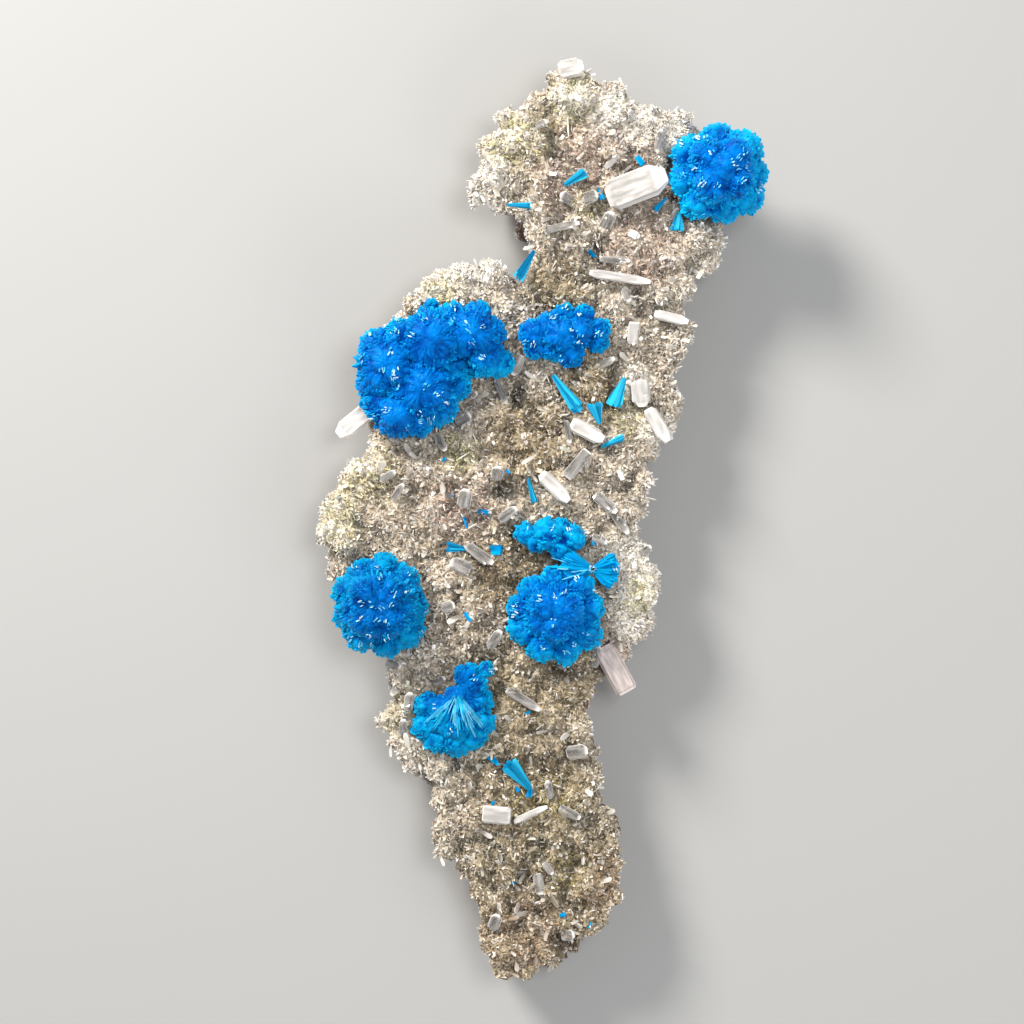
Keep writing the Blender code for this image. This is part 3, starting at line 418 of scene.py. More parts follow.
def patches(points, places):
    """How much each point belongs to any of the round patches, from 0 to 1."""
    share = np.zeros(len(points))
    for x, y, radius in places:
        distance = np.hypot(points[:, 0] - x, points[:, 1] - y)
        share = np.maximum(share, 1.0 - smooth_step(distance, 0.5 * radius, 1.5 * radius))
    return share


def pointing(turn, lift):
    """Directions that are turned from +X and lifted from the level by these radians."""
    level = np.cos(lift)
    return np.stack((np.cos(turn) * level, np.sin(turn) * level, np.sin(lift)), axis=1)


def spread_directions(count, rng, jitter):
    """Directions evenly spread on a ball: a golden-angle spiral, each shaken a little."""
    i = np.arange(count)
    z = 1.0 - 2.0 * (i + 0.5) / count
    turn = i * np.pi * (3.0 - np.sqrt(5.0))
    ring = np.sqrt(1.0 - z * z)
    even = np.stack((ring * np.cos(turn), ring * np.sin(turn), z), axis=1)
    return unit(even + rng.normal(0.0, jitter / np.sqrt(count), (count, 3)))


def across(axes, rng):
    """A random direction at right angles to each axis."""
    return unit(np.cross(axes, rng.normal(size=axes.shape)))


def surface_level(x, y, points):
    """The highest point's height near each place: in its small square and the eight round it."""
    low = points[:, :2].min(axis=0) - 2 * LEVEL_CELL
    cell = ((points[:, :2] - low) / LEVEL_CELL).astype(int)
    top = np.full(cell.max(axis=0) + 3, -1.0)
    np.maximum.at(top, (cell[:, 0], cell[:, 1]), points[:, 2])
    i = np.clip(((x - low[0]) / LEVEL_CELL).astype(int), 1, top.shape[0] - 2)
    j = np.clip(((y - low[1]) / LEVEL_CELL).astype(int), 1, top.shape[1] - 2)
    return np.max([top[i + a, j + b] for a in (-1, 0, 1) for b in (-1, 0, 1)], axis=0)


def laid(x, y, length, turn, rise, lift, points):
    """The foot, axis and side of crystals that lie on a surface, each centred over its place.

    Foot = (x, y, surface + lift) - length / 2 * axis, and side is level.
    """
    axis = pointing(turn, rise)
    middle = np.stack((x, y, surface_level(x, y, points) + lift), axis=1)
    return middle - axis * (length / 2)[:, None], axis, unit(np.cross((0.0, 0.0, 1.0), axis))


def in_mm(box):
    """A box's lowest and highest corner, from metres to millimetres."""
    return [np.array(corner) / MM for corner in box]


def drawn_inside(points):
    """The points drawn back to just inside the solids' box, but for the underside, on the floor."""
    low, high = in_mm(CAD_BOX)
    return np.clip(points, low + (BOX_MARGIN, BOX_MARGIN, 0.0), high - BOX_MARGIN)


def inside_box(points):
    """True for the crystals, as (crystal, ring, corner, xyz), that stay in the solids' box."""
    low, high = in_mm(CAD_BOX)
    return np.all((points > low) & (points < high), axis=(1, 2, 3))


# Pieces

NO_FACES = np.zeros((0, 3), int)


def flat(points, quads, colours):
    """The points as one list, the quads, and a colour for each point, where one may be for many."""
    return points.reshape(-1, 3), quads, np.broadcast_to(colours, points.shape).reshape(-1, 3)


def joined(pieces):
    """Several (points, quads, colours) as one, each one's indices moved past those before."""
    points, quads, colours, offset = [], [], [], 0
    for some_points, some_quads, some_colours in pieces:
        points.append(some_points)
        quads.append(some_quads + offset)
        colours.append(some_colours)
        offset += len(some_points)
    return np.concatenate(points), np.concatenate(quads), np.concatenate(colours)


def placed(name, data):
    """A new object of this data, in the scene."""
    made = bpy.data.objects.new(name, data)
    bpy.context.scene.collection.objects.link(made)
    return made


def new_piece(
    name, points, quads, colours, material, node=None, tris=NO_FACES, smooth=False, grain=None
):
    """Writes points in millimetres, their faces and colours as a piece that rides on the plate.

    It takes its finish from the material slot, and stands for the solid if one is named. grain is
    each point's place in its own crystal, for patterns that follow the crystal.
    """
    points, quads, colours = flat(points, quads, colours)
    mesh = bpy.data.meshes.new(name)
    mesh.vertices.add(len(points))
    mesh.vertices.foreach_set("co", (points * MM).astype(np.float32).ravel())
    corners = np.concatenate((quads.ravel(), tris.ravel())).astype(np.int32)
    sizes = np.concatenate((np.full(len(quads), 4), np.full(len(tris), 3))).astype(np.int32)
    starts = np.concatenate(([0], np.cumsum(sizes)[:-1])).astype(np.int32)
    mesh.loops.add(len(corners))
    mesh.loops.foreach_set("vertex_index", corners)
    mesh.polygons.add(len(sizes))
    mesh.polygons.foreach_set("loop_start", starts)
    mesh.polygons.foreach_set("use_smooth", np.full(len(sizes), smooth))
    mesh.update(calc_edges=True)
    opaque = np.concatenate((colours, np.ones((len(colours), 1))), axis=1)
    tint = mesh.color_attributes.new("tint", "FLOAT_COLOR", "POINT")
    tint.data.foreach_set("color", opaque.astype(np.float32).ravel())
    if grain is not None:
        place = mesh.attributes.new("grain", "FLOAT_VECTOR", "POINT")
        place.data.foreach_set("vector", grain.ravel())
    mesh.materials.append(material)
    piece = placed(name, mesh)
    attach(piece, "root")
    if node:
        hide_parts(node)


def carried(stem, side, up, width, thickness, rings, section):
    """A section carried along each stem, given as an array (crystal, ring, xyz).

    Point (i, r, k) = stem (i, r) + width i * wide r * section x k * side i
    + thickness i * thick r * section y k * up i. Strips of quads from top edge to bottom edge close
    the first and the last ring. Returns the points as (crystal, ring, corner, xyz), and the quads.
    """
    wide, thick = rings[:, 1], rings[:, 2]
    x, y = section.T
    reach = (width[:, None, None] * wide[:, None] * x)[..., None] * side[:, None, None, :]
    rise = (thickness[:, None, None] * thick[:, None] * y)[..., None] * up[:, None, None, :]
    points = stem[:, :, None, :] + reach + rise
    index = np.arange(points[..., 0].size).reshape(points.shape[:3])
    here, there = index[:, :-1], index[:, 1:]
    flanks = np.stack((here, np.roll(here, -1, axis=2), np.roll(there, -1, axis=2), there), axis=-1)
    caps = np.concatenate((index[:, 0, ::-1], index[:, -1]))
    corners = len(section)
    ends = [caps[:, [k, k + 1, corners - 2 - k, corners - 1 - k]] for k in range(corners // 2 - 1)]
    return points, np.concatenate((flanks.reshape(-1, 4), *ends))


def crystals(base, axis, side, length, width, thickness, rings, section):
    """Straight crystals: carried along stem (i, r) = base i + length i * along r * axis i."""
    stem = base[:, None, :] + (length[:, None] * rings[:, 0])[..., None] * axis[:, None, :]
    return carried(stem, side, np.cross(axis, side), width, thickness, rings, section)


# Materials

def add_node(tree, kind, inputs=None, **settings):
    """Adds a shader node and gives its outputs; an input is a value or another node's output."""
    made = tree.nodes.new("ShaderNode" + kind)
    for key, value in settings.items():
        setattr(made, key, value)
    for key, value in (inputs or {}).items():
        if isinstance(value, bpy.types.NodeSocket):
            tree.links.new(value, made.inputs[key])
        else:
            made.inputs[key].default_value = value
    return made.outputs


def new_material(name):
    """A material and its node tree, still empty."""
    material = bpy.data.materials.new(name)
    material.use_nodes = True
    material.node_tree.nodes.clear()
    return material, material.node_tree


def rgba(hex_colour):
    """An sRGB hex colour as an opaque linear one for a socket."""
    return (*linear(hex_colour), 1.0)


def druse_material():
    """Heulandite in sub-millimetre crystals: clear and glassy, with painted shade at their feet and
    in hollows and painted light on the rims in their tint.
    """
    material, tree = new_material("heulandite_druse_glassy")
    tint = add_node(tree, "Attribute", attribute_name="tint")
    shader = add_node(tree, "BsdfPrincipled", {
        "Base Color": tint["Color"], "Roughness": 0.22, "IOR": 1.50, "Transmission Weight": 0.12,
    })
    add_node(tree, "OutputMaterial", {"Surface": shader["BSDF"]})
    return material


def skin_material():
    """The crust's ground and the basalt below it, broken rough: facets of 0.3 mm, some pale.

    Each facet has its own shade and lean, so that it glints by itself. The rock's real grain is
    finer: it is drawn as coarse as it needs to show.
    """
    material, tree = new_material("basalt_with_zeolite_crust")
    coords = add_node(tree, "TexCoord")
    tint = add_node(tree, "Attribute", attribute_name="tint")
    surface = add_node(tree, "NewGeometry")
    cells = add_node(tree, "TexVoronoi", {
        "Vector": coords["Object"], "Scale": 1.0 / (FACET_SIZE * MM),
    })
    lean = add_node(tree, "VectorMath", {
        0: cells["Color"], 1: (1.1, 1.1, 1.1), 2: (-0.55, -0.55, -0.55),
    }, operation="MULTIPLY_ADD")
    facing = add_node(tree, "VectorMath", {
        0: surface["Normal"], 1: lean["Vector"],
    }, operation="ADD")
    facet = add_node(tree, "VectorMath", {0: facing["Vector"]}, operation="NORMALIZE")
    shade = add_node(tree, "MapRange", {
        "Value": cells["Color"], "From Min": 0.25, "From Max": 0.75, "To Min": 0.55, "To Max": 1.3,
    })
    toned = add_node(tree, "VectorMath", {
        0: tint["Color"], "Scale": shade["Result"],
    }, operation="SCALE")
    parts = add_node(tree, "SeparateColor", {"Color": cells["Color"]})
    pale = add_node(tree, "MapRange", {
        "Value": parts["Blue"], "From Min": 0.88, "From Max": 0.90, "To Min": 0.0, "To Max": 0.7,
    })
    mixed = add_node(tree, "Mix", {
        "Factor": pale["Result"], "A": toned["Vector"], "B": rgba("#dcd0c0"),
    }, data_type="RGBA")
    grain = add_node(tree, "TexNoise", {
        "Vector": coords["Object"], "Scale": 1.0 / (GRAIN_SIZE * MM), "Detail": 6.0,
        "Roughness": 0.65,
    })
    bump = add_node(tree, "Bump", {
        "Height": grain["Fac"], "Strength": 0.6, "Distance": 0.3 * MM, "Normal": facet["Vector"],
    })
    shader = add_node(tree, "BsdfPrincipled", {
        "Base Color": mixed["Result"], "Roughness": 0.45, "IOR": 1.5, "Normal": bump["Normal"],
    })
    add_node(tree, "OutputMaterial", {"Surface": shader["BSDF"]})
    return material


def cavansite_material():
    """Cavansite: azure blades packed side by side, so thin that light seeps through them."""
    material, tree = new_material("cavansite_azure")
    tint = add_node(tree, "Attribute", attribute_name="tint")
    shader = add_node(tree, "BsdfPrincipled", {
        "Base Color": tint["Color"], "Roughness": 0.32, "IOR": 1.54, "Specular IOR Level": 0.15,
        "Specular Tint": rgba("#4ab4ff"), "Subsurface Weight": 0.4, "Subsurface Scale": 0.6 * MM,
        "Subsurface Radius": (0.2, 0.8, 1.0),
    })
    add_node(tree, "OutputMaterial", {"Surface": shader["BSDF"]})
    return material


def pale_material(name, roughness, transmission, veiled_shade, stain):
    """Clear to milky heulandite: glassy faces, edges painted white as highlights, and veils that
    run lengthwise.

    Light goes through the faces and not through the painted white edges: the paler the tint, the
    less. A veil takes 0.2 from the transmission or gives as much, and darkens the tint to
    veiled_shade.
    """
    material, tree = new_material(name)
    grain = add_node(tree, "Attribute", attribute_name="grain")
    tint = add_node(tree, "Attribute", attribute_name="tint")
    veil = add_node(tree, "TexNoise", {"Vector": grain["Vector"], "Scale": 1.0, "Detail": 3.0})
    cloud = add_node(tree, "MapRange", {
        "Value": veil["Fac"], "From Min": 0.35, "From Max": 0.65,
        "To Min": transmission - 0.2, "To Max": transmission + 0.2,
    })
    face = add_node(tree, "MapRange", {
        "Value": tint["Color"], "From Min": 0.65, "From Max": 0.95, "To Min": 1.0, "To Max": 0.0,
    })
    through = add_node(tree, "Math", {
        0: cloud["Result"], 1: face["Result"],
    }, operation="MULTIPLY")
    shade = add_node(tree, "MapRange", {
        "Value": veil["Fac"], "From Min": 0.35, "From Max": 0.65,
        "To Min": 1.0, "To Max": veiled_shade,
    })
    veiled = add_node(tree, "VectorMath", {
        0: tint["Color"], "Scale": shade["Result"],
    }, operation="SCALE")
    stained = add_node(tree, "Mix", {
        "Factor": 1.0, "A": veiled["Vector"], "B": rgba(stain),
    }, data_type="RGBA", blend_type="MULTIPLY")
    ridges = add_node(tree, "Bump", {
        "Height": veil["Fac"], "Strength": 0.15, "Distance": 0.04 * MM,
    })
    shader = add_node(tree, "BsdfPrincipled", {
        "Base Color": stained["Result"], "Roughness": roughness, "IOR": 1.50,
        "Transmission Weight": through["Value"], "Normal": ridges["Normal"],
    })
    add_node(tree, "OutputMaterial", {"Surface": shader["BSDF"]})
    return material


# The plate's skin

def neighbours_mean(values, edges, counts):
    """For each point, the mean of the values at the points it shares an edge with."""
    total = np.zeros_like(values)
    np.add.at(total, edges[:, 0], values[edges[:, 1]])
    np.add.at(total, edges[:, 1], values[edges[:, 0]])
    return total / counts[:, None]


def point_normals(points, quads):
    """Each point's normal: the sum of its quads' cross products of their diagonals."""
    corner = points[quads]
    cross = np.cross(corner[:, 2] - corner[:, 0], corner[:, 3] - corner[:, 1])
    total = np.zeros_like(points)
    for k in range(4):
        np.add.at(total, quads[:, k], cross)
    return unit(total)


def remeshed_plate():
    """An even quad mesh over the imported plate: points in millimetres, quads and edges."""
    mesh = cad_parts[PLATE].data.copy()
    shape = bmesh.new()
    shape.from_mesh(mesh)
    bmesh.ops.remove_doubles(shape, verts=shape.verts, dist=1e-7)
    shape.to_mesh(mesh)
    shape.free()
    copy = placed("plate_copy", mesh)
    skin = copy.modifiers.new("Even skin", "REMESH")
    skin.mode = "VOXEL"
    skin.voxel_size = SKIN_VOXEL * MM
    graph = bpy.context.evaluated_depsgraph_get()
    even = bpy.data.meshes.new_from_object(copy.evaluated_get(graph))
    bpy.data.objects.remove(copy)
    points, corners = read(even.vertices, "co", 3, float), read(even.loops, "vertex_index", 1, int)
    return points / MM, corners.reshape(-1, 4), read(even.edges, "vertices", 2, int)


def make_skin(material):
    """The ground of the druse and the bare rock, and what the crystals need to know about it.

    Point = even point + normal * (knobs + noise - inset + swell of the rim), faded in over the
    lowest 1.5 mm, where noise lifts the edge off the floor instead.
    """
    points, quads, edges = remeshed_plate()
    counts = np.bincount(edges.ravel(), minlength=len(points)).astype(float)

    in_socket = np.zeros(len(points))
    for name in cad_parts:
        if name == PLATE:
            continue
        low, high = in_mm(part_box(name))
        inside = np.all((points > low - SOCKET_MARGIN) & (points < high + SOCKET_MARGIN), axis=1)
        in_socket[inside] = 1.0
    for _ in range(SOCKET_SMOOTHING):
        points += in_socket[:, None] * (neighbours_mean(points, edges, counts) - points)
    for _ in range(3):
        points += 0.5 * (neighbours_mean(points, edges, counts) - points)

    # Lumps on the crust, and a ragged edge where the plate rests on its flat back
    normals = point_normals(points, quads)
    top = smooth_step(points[:, 2], 0.3, 1.5)
    lumps = SKIN_ROUGHNESS * noise(points, 0.7, 3) - SKIN_INSET
    for number, (pitch, height) in enumerate(KNOBS):
        lumps += height * (knobs(points, pitch, 50 + 10 * number) - 0.55)
    lumps += RIM_SWELL * (1.0 - smooth_step(normals[:, 2], 0.1, 0.7))
    points += (top * lumps)[:, None] * normals
    points = drawn_inside(points)
    edge = np.clip(noise(points, 4.0, 4) + noise(points, 1.4, 5), 0.0, 2.0)
    base = (1.0 - top) * EDGE_LIFT * edge
    points[:, 2] = np.maximum(points[:, 2] + base, 0.0)

    # Relief is how far each point stands out of the calm shape: hollows are darker, as painted
    # shade
    calm = points.copy()
    for _ in range(CALM_PASSES):
        calm += 0.7 * (neighbours_mean(calm, edges, counts) - calm)
    normals = point_normals(points, quads)
    relief = np.sum((points - calm) * normals, axis=1)
    crust = crust_share(points, normals)
    rock = ROCK * (1.0 + 0.45 * noise(points, 3.0, 6))[:, None]
    ground = GROUND * (1.0 + 0.3 * noise(points, 2.5, 7))[:, None]
    ground *= (0.45 + 0.55 * smooth_step(relief, -0.9, 0.3))[:, None]
    ground *= 1.0 + (OLIVE - 1.0) * patches(points, OLIVE_PATCHES)[:, None]
    # Painted light: the ground paler under the lit rims
    ground = blend(ground, LIT_RIM_GROUND, 0.7 * patches(points, LIT_RIMS))
    colours = np.clip(blend(rock, ground, crust), 0, 1)
    new_piece(
        "heulandite_plate_skin", points, quads, colours, material, PLATE, smooth=True
    )
    return {"points": points, "quads": quads, "normals": normals, "relief": relief}


def crust_share(points, normals):
    """1 where druse covers the plate: above a ragged level, on no underside or foot's rim."""
    ragged = CRUST_LEVEL + CRUST_WANDER * noise(points, 7.0, 8)
    ragged += CRUST_RAGGED * noise(points, 2.2, 9)
    bare_rim = 0.75 * (1.0 - smooth_step(points[:, 1], -36.0, -24.0))
    upright = smooth_step(normals[:, 2] - bare_rim, -0.6, -0.2)
    return smooth_step(points[:, 2], ragged - 0.5, ragged + 0.5) * upright


# The druse

def druse_colours(points, normals, relief, rng):
    """A tint for each crystal: where it stands, painted shade by how deep it sits and in pits,
    painted light on rims and mounds, and chance.
    """
    mixed = blend(TAN, GREY, smooth_step(noise(points, 11.0, 21), -0.5, 0.5))
    mixed = blend(mixed, PINK, 0.8 * patches(points, PINK_PATCHES))
    mixed = blend(mixed, RIM_LIGHT_CREAM, 0.95 * patches(points, LIT_RIMS))
    mixed = blend(mixed, YELLOW, 0.7 * patches(points, YELLOW_MOUNDS))
    # Painted light: rims lighter, more so towards the upper end, and raised crystals lighter
    rim = 1.0 - smooth_step(normals[:, 2], 0.2, 0.85)
    rim = rim * (0.6 + 0.4 * smooth_step(points[:, 1], -12.0, 30.0))
    bright = 0.9 * rim + 0.45 * smooth_step(relief, 0.1, 0.7)
    mixed = blend(mixed, RIM_LIGHT_CREAM, np.clip(bright, 0.0, 1.0))
    mixed *= 1.0 + (OLIVE - 1.0) * patches(points, OLIVE_PATCHES)[:, None]
    # Painted shade in hollows and pits, less of it under the lit rims
    deep = 0.42 + 0.58 * smooth_step(relief, -0.8, 0.25)
    deep += (1.0 - deep) * 0.7 * patches(points, LIT_RIMS)
    deep *= 1.0 - 0.52 * patches(points, PIT_SHADE)
    chance = np.exp(rng.normal(0.0, 0.28, len(points)))
    return np.clip(mixed * (deep * chance)[:, None], 0.0, 0.92)


def spread_on_skin(skin, wanted, spacing, weight, rng):
    """Random places on the skin's quads, by area and weight, with one in each small cell."""
    corner = skin["points"][skin["quads"]]
    cross = np.cross(corner[:, 2] - corner[:, 0], corner[:, 3] - corner[:, 1])
    share = np.linalg.norm(cross, axis=1) * weight[skin["quads"]].mean(axis=1)
    picked = rng.choice(len(share), 4 * wanted, p=share / share.sum())
    u, v = rng.random((2, len(picked), 1))
    near = [(1 - u) * (1 - v), u * (1 - v), u * v, (1 - u) * v]
    places = sum(part * corner[picked, k] for k, part in enumerate(near))
    cells = np.floor(places / spacing).astype(np.int64)
    _, keep = np.unique(cells @ np.array([1, 4096, 4096**2]), return_index=True)
    keep = rng.permutation(keep)[:wanted]
    quads = skin["quads"][picked[keep]]
    normals = unit(skin["normals"][quads].mean(axis=1))
    return places[keep], normals, skin["relief"][quads].mean(axis=1)


def clear_of(points, lobes, share):
    """True for the points that are outside this share of every lobe's radius."""
    clear = np.ones(len(points), bool)
    for x, y, z, radius in lobes:
        clear &= np.linalg.norm(points - (x, y, z), axis=1) > share * radius
    return clear


def druse_piece(name, base, axis, size, habit, foot, tip, material, rng):
    """Crystals in one mesh, their colour running from the foot's tint, darker as painted shade, to
    the tip's.

    If any would leave the solids' box, they are left out, and the others are turned anew.
    """
    points, quads = crystals(base, axis, across(axis, rng), *size, habit, RECTANGLE)
    keep = inside_box(points)
    if not keep.all():
        base, axis, foot, tip = (rows[keep] for rows in (base, axis, foot, tip))
        druse_piece(name, base, axis, size[:, keep], habit, foot, tip, material, rng)
        return
    rise = np.linspace(0.0, 1.0, len(habit))[None, :, None, None]
    tints = foot[:, None, None] * (1.0 - rise) + tip[:, None, None] * rise
    new_piece(name, points, quads, tints, material)


def make_druse(skin, material):
    """The sugary crust: small heulandite crystals on the skin, and larger flakes among them."""
    rng = np.random.default_rng(31)
    weight = crust_share(skin["points"], skin["normals"])
    weight *= 0.30 + 0.70 * smooth_step(skin["normals"][:, 2], -0.2, 0.5)
    weight *= clear_of(skin["points"], sum(ROSETTES.values(), []), 0.93)
    places, normals, relief = spread_on_skin(skin, DRUSE_COUNT, DRUSE_SPACING, weight, rng)
    count = len(places)
    axis = unit(normals + rng.normal(0.0, DRUSE_LEAN, (count, 3)))
    length = DRUSE_LENGTH * np.exp(rng.normal(0.0, 0.30, count))
    length *= 0.88 + 0.12 * smooth_step(places[:, 1], -35.0, -15.0)
    length *= 0.75 + 0.25 * smooth_step(normals[:, 2], 0.2, 0.7)
    width = length * rng.uniform(0.42, 0.85, count)
    size = np.array([length, width, width * rng.uniform(0.25, 0.55, count)])
    tip = druse_colours(places, normals, relief, rng)
    # Painted sparkle: some crystals made white as glints
    tip[rng.random(count) < DRUSE_SPARKLE] = SPARKLE_WHITE
    # Painted shade: each crystal darker at its foot than at its tip
    foot = tip * FOOT_SHADE
    for name, low, high in DRUSE_BANDS:
        here = (places[:, 1] >= low) & (places[:, 1] < high)
        druse_piece(
            f"heulandite_druse_{name}", places[here], axis[here], size[:, here], SPLINTER,
            foot[here], tip[here], material, rng,
        )

    weight *= smooth_step(skin["normals"][:, 2], 0.45, 0.9)
    places, normals, relief = spread_on_skin(skin, FLAKE_COUNT, FLAKE_SPACING, weight, rng)
    count = len(places)
    axis = unit(normals + rng.normal(0.0, FLAKE_LEAN, (count, 3)))
    length = FLAKE_LENGTH * np.exp(rng.normal(0.0, 0.28, count))
    width = length * rng.uniform(0.25, 0.5, count)
    size = np.array([length, width, width * rng.uniform(0.15, 0.3, count)])
    tip = druse_colours(places, normals, relief, rng)
    # Painted highlight on the flakes' tips, and painted shade at their feet
    tip = blend(tip, TIP_HIGHLIGHT, rng.uniform(0.0, 0.7, count))
    druse_piece(
        "heulandite_druse_flakes", places, axis, size, FLAKE, 0.7 * tip, tip, material, rng
    )


# Cavansite rosettes

def rosette_tints(points, level, middle, reach):
    """Cavansite blue: darkened in the creases as painted shade, azure over the eye and cyan towards
    the skirts.

    level runs from 0 in a crease to 1 on a crest, middle is the rosette's middle and reach its
    radius.
    """
    out = np.hypot(points[:, 0] - middle[0], points[:, 1] - middle[1]) / reach
    skirt = smooth_step(out + 0.2 * noise(points, 1.6, 61), 0.5, 1.05)
    tint = blend(AZURE, CYAN, skirt) * (1.0 + 0.14 * noise(points, 0.9, 62))[:, None]
    return blend(CREASE_SHADE, tint, np.clip(level, 0.0, 1.15))


def lobe_fans(radius, rng):
    """The small fans that make one lobe: their directions, how far they reach and their domes."""
    pitch = np.clip(0.62 * radius, 1.1, 2.2)
    fans = spread_directions(max(9, round(14.0 * radius**2 / pitch**2)), rng, 0.9)
    reach = radius * rng.uniform(0.88, 1.0, len(fans))
    dome = 0.78 * pitch * rng.uniform(0.85, 1.15, len(fans))
    return fans, reach, np.minimum(dome, 0.6 * reach)


def creases(points, eye, reach):
    """Creases that radiate from an eye, 0 to 1: deepest where a noise of (cos, sin, distance) is 0.

    A coarse noise gives the main ones, which fade by 0.22, and a fine one those between, which fade
    by 0.35 and are 0.6 as deep.
    """
    east, north = points[:, 0] - eye[0], points[:, 1] - eye[1]
    away = np.maximum(np.hypot(east, north), 1e-6)
    turn = np.stack((east / away, north / away), axis=1)
    coarse = noise(np.column_stack((turn * 1.3, away / 6.0)), 1.0, 71)
    fine = noise(np.column_stack((turn * 0.8 * reach, away / 3.0)), 1.0, 72)
    between = 0.6 * (1.0 - smooth_step(np.abs(fine), 0.0, 0.35))
    crease = np.maximum(1.0 - smooth_step(np.abs(coarse), 0.0, 0.22), between)
    return crease * smooth_step(away, 0.1 * reach, 0.45 * reach)


def scalloped_ball(centre, radius, fans, reach, dome, eye, span, seed):
    """A ball with a low dome over each fan and creases that radiate from the eye.

    Point (u, v) lies on the ray of that latitude and longitude, where the ray leaves the last of
    the fans' domes: r = d.s + sqrt((d.s)^2 - s.s + dome^2) for the dome's middle s, and at least
    VALLEY_FLOOR of the radius, less the crease. The poles are one point each. Also returns how
    high each point stands, from 0 to 1.
    """
    rows = max(8, round(np.pi * radius / LOBE_GRID))
    u = np.linspace(0.0, np.pi, rows + 1)[1:-1, None]
    v = np.linspace(0.0, 2.0 * np.pi, 2 * rows, endpoint=False)[None, :]
    rings = np.stack((np.sin(u) * np.cos(v), np.sin(u) * np.sin(v), np.cos(u) + 0.0 * v), axis=-1)
    directions = np.concatenate((rings.reshape(-1, 3), [(0, 0, 1), (0, 0, -1)]))
    middles = fans * (reach - dome)[:, None]
    along = directions @ middles.T
    inside = along**2 - np.sum(middles**2, axis=1) + dome**2
    leaves = np.where(inside > 0.0, along + np.sqrt(np.maximum(inside, 0.0)), 0.0).max(axis=1)
    crease = creases(centre + directions * radius, eye, span)
    rough = 0.07 * noise(directions * radius, LOBE_GRID, seed)
    distance = np.maximum(leaves, VALLEY_FLOOR * radius) + rough
    distance -= CREASE_DEPTH * radius**0.6 * crease
    points = centre + directions * distance[:, None]
    index = np.arange((rows - 1) * 2 * rows).reshape(rows - 1, 2 * rows)
    after = np.roll(index, -1, axis=1)
    quads = np.stack((index[:-1], index[1:], after[1:], after[:-1]), axis=-1).reshape(-1, 4)
    north, south = np.full(2 * rows, index.size), np.full(2 * rows, index.size + 1)
    top = np.stack((north, index[0], after[0]), axis=-1)
    bottom = np.stack((south, after[-1], index[-1]), axis=-1)
    level = smooth_step(distance / radius, 0.78, 0.97) * (1.0 - 0.45 * crease)
    return points, quads, np.concatenate((top, bottom)), level


def lobe_blades(centre, fans, reach, dome, eye, rng):
    """Blades from the middle of each fan's dome to just past it, leaning away from the eye."""
    per_fan = np.clip(np.round(7.0 * dome**2), 5, 14).astype(int)
    owner = np.repeat(np.arange(len(fans)), per_fan)
    mid = fans[owner]
    start = centre + mid * (reach - dome)[owner][:, None]
    outward = start - np.array([*eye, 0.0])
    outward[:, 2] = 0.0
    axis = unit(unit(rng.normal(size=mid.shape)) + mid + 0.45 * unit(outward))
    skirt = 1.0 - smooth_step(axis[:, 2], 0.0, 0.7)
    length = dome[owner] * (1.0 + (0.03 + 0.34 * skirt) * rng.random(len(owner)))
    return start, axis, length, skirt


def streak_blades(x, y, heading, length, width, palest, points, rng):
    """Thin blades, painted bright as highlights, that follow the rosette's surface.

    Stem r = foot + length * along r * heading, at the surface's height there less the sink. Their
    colours run from cyan to this share of the pale blue of a painted glint.
    """
    along = length[:, None] * STREAK[:, 0]
    path_x = x[:, None] + along * np.cos(heading)[:, None]
    path_y = y[:, None] + along * np.sin(heading)[:, None]
    level = surface_level(path_x, path_y, points)
    here = np.all(level > 0.0, axis=1)
    stem = np.stack((path_x, path_y, level - STREAK_SINK), axis=-1)[here]
    side = np.stack((-np.sin(heading), np.cos(heading), 0.0 * heading), axis=1)[here]
    up = np.broadcast_to((0.0, 0.0, 1.0), side.shape)
    made, quads = carried(
        stem, side, up, width[here], np.full(len(stem), STREAK_THICKNESS), STREAK, RECTANGLE
    )
    tint = blend(CYAN, BRIGHT, rng.random(len(stem)))
    # Painted glint: some blades paled towards white
    tint = blend(tint, GLINT_PALE, palest * rng.random(len(stem)) ** 1.5)
    return flat(made, quads, tint[:, None, None])


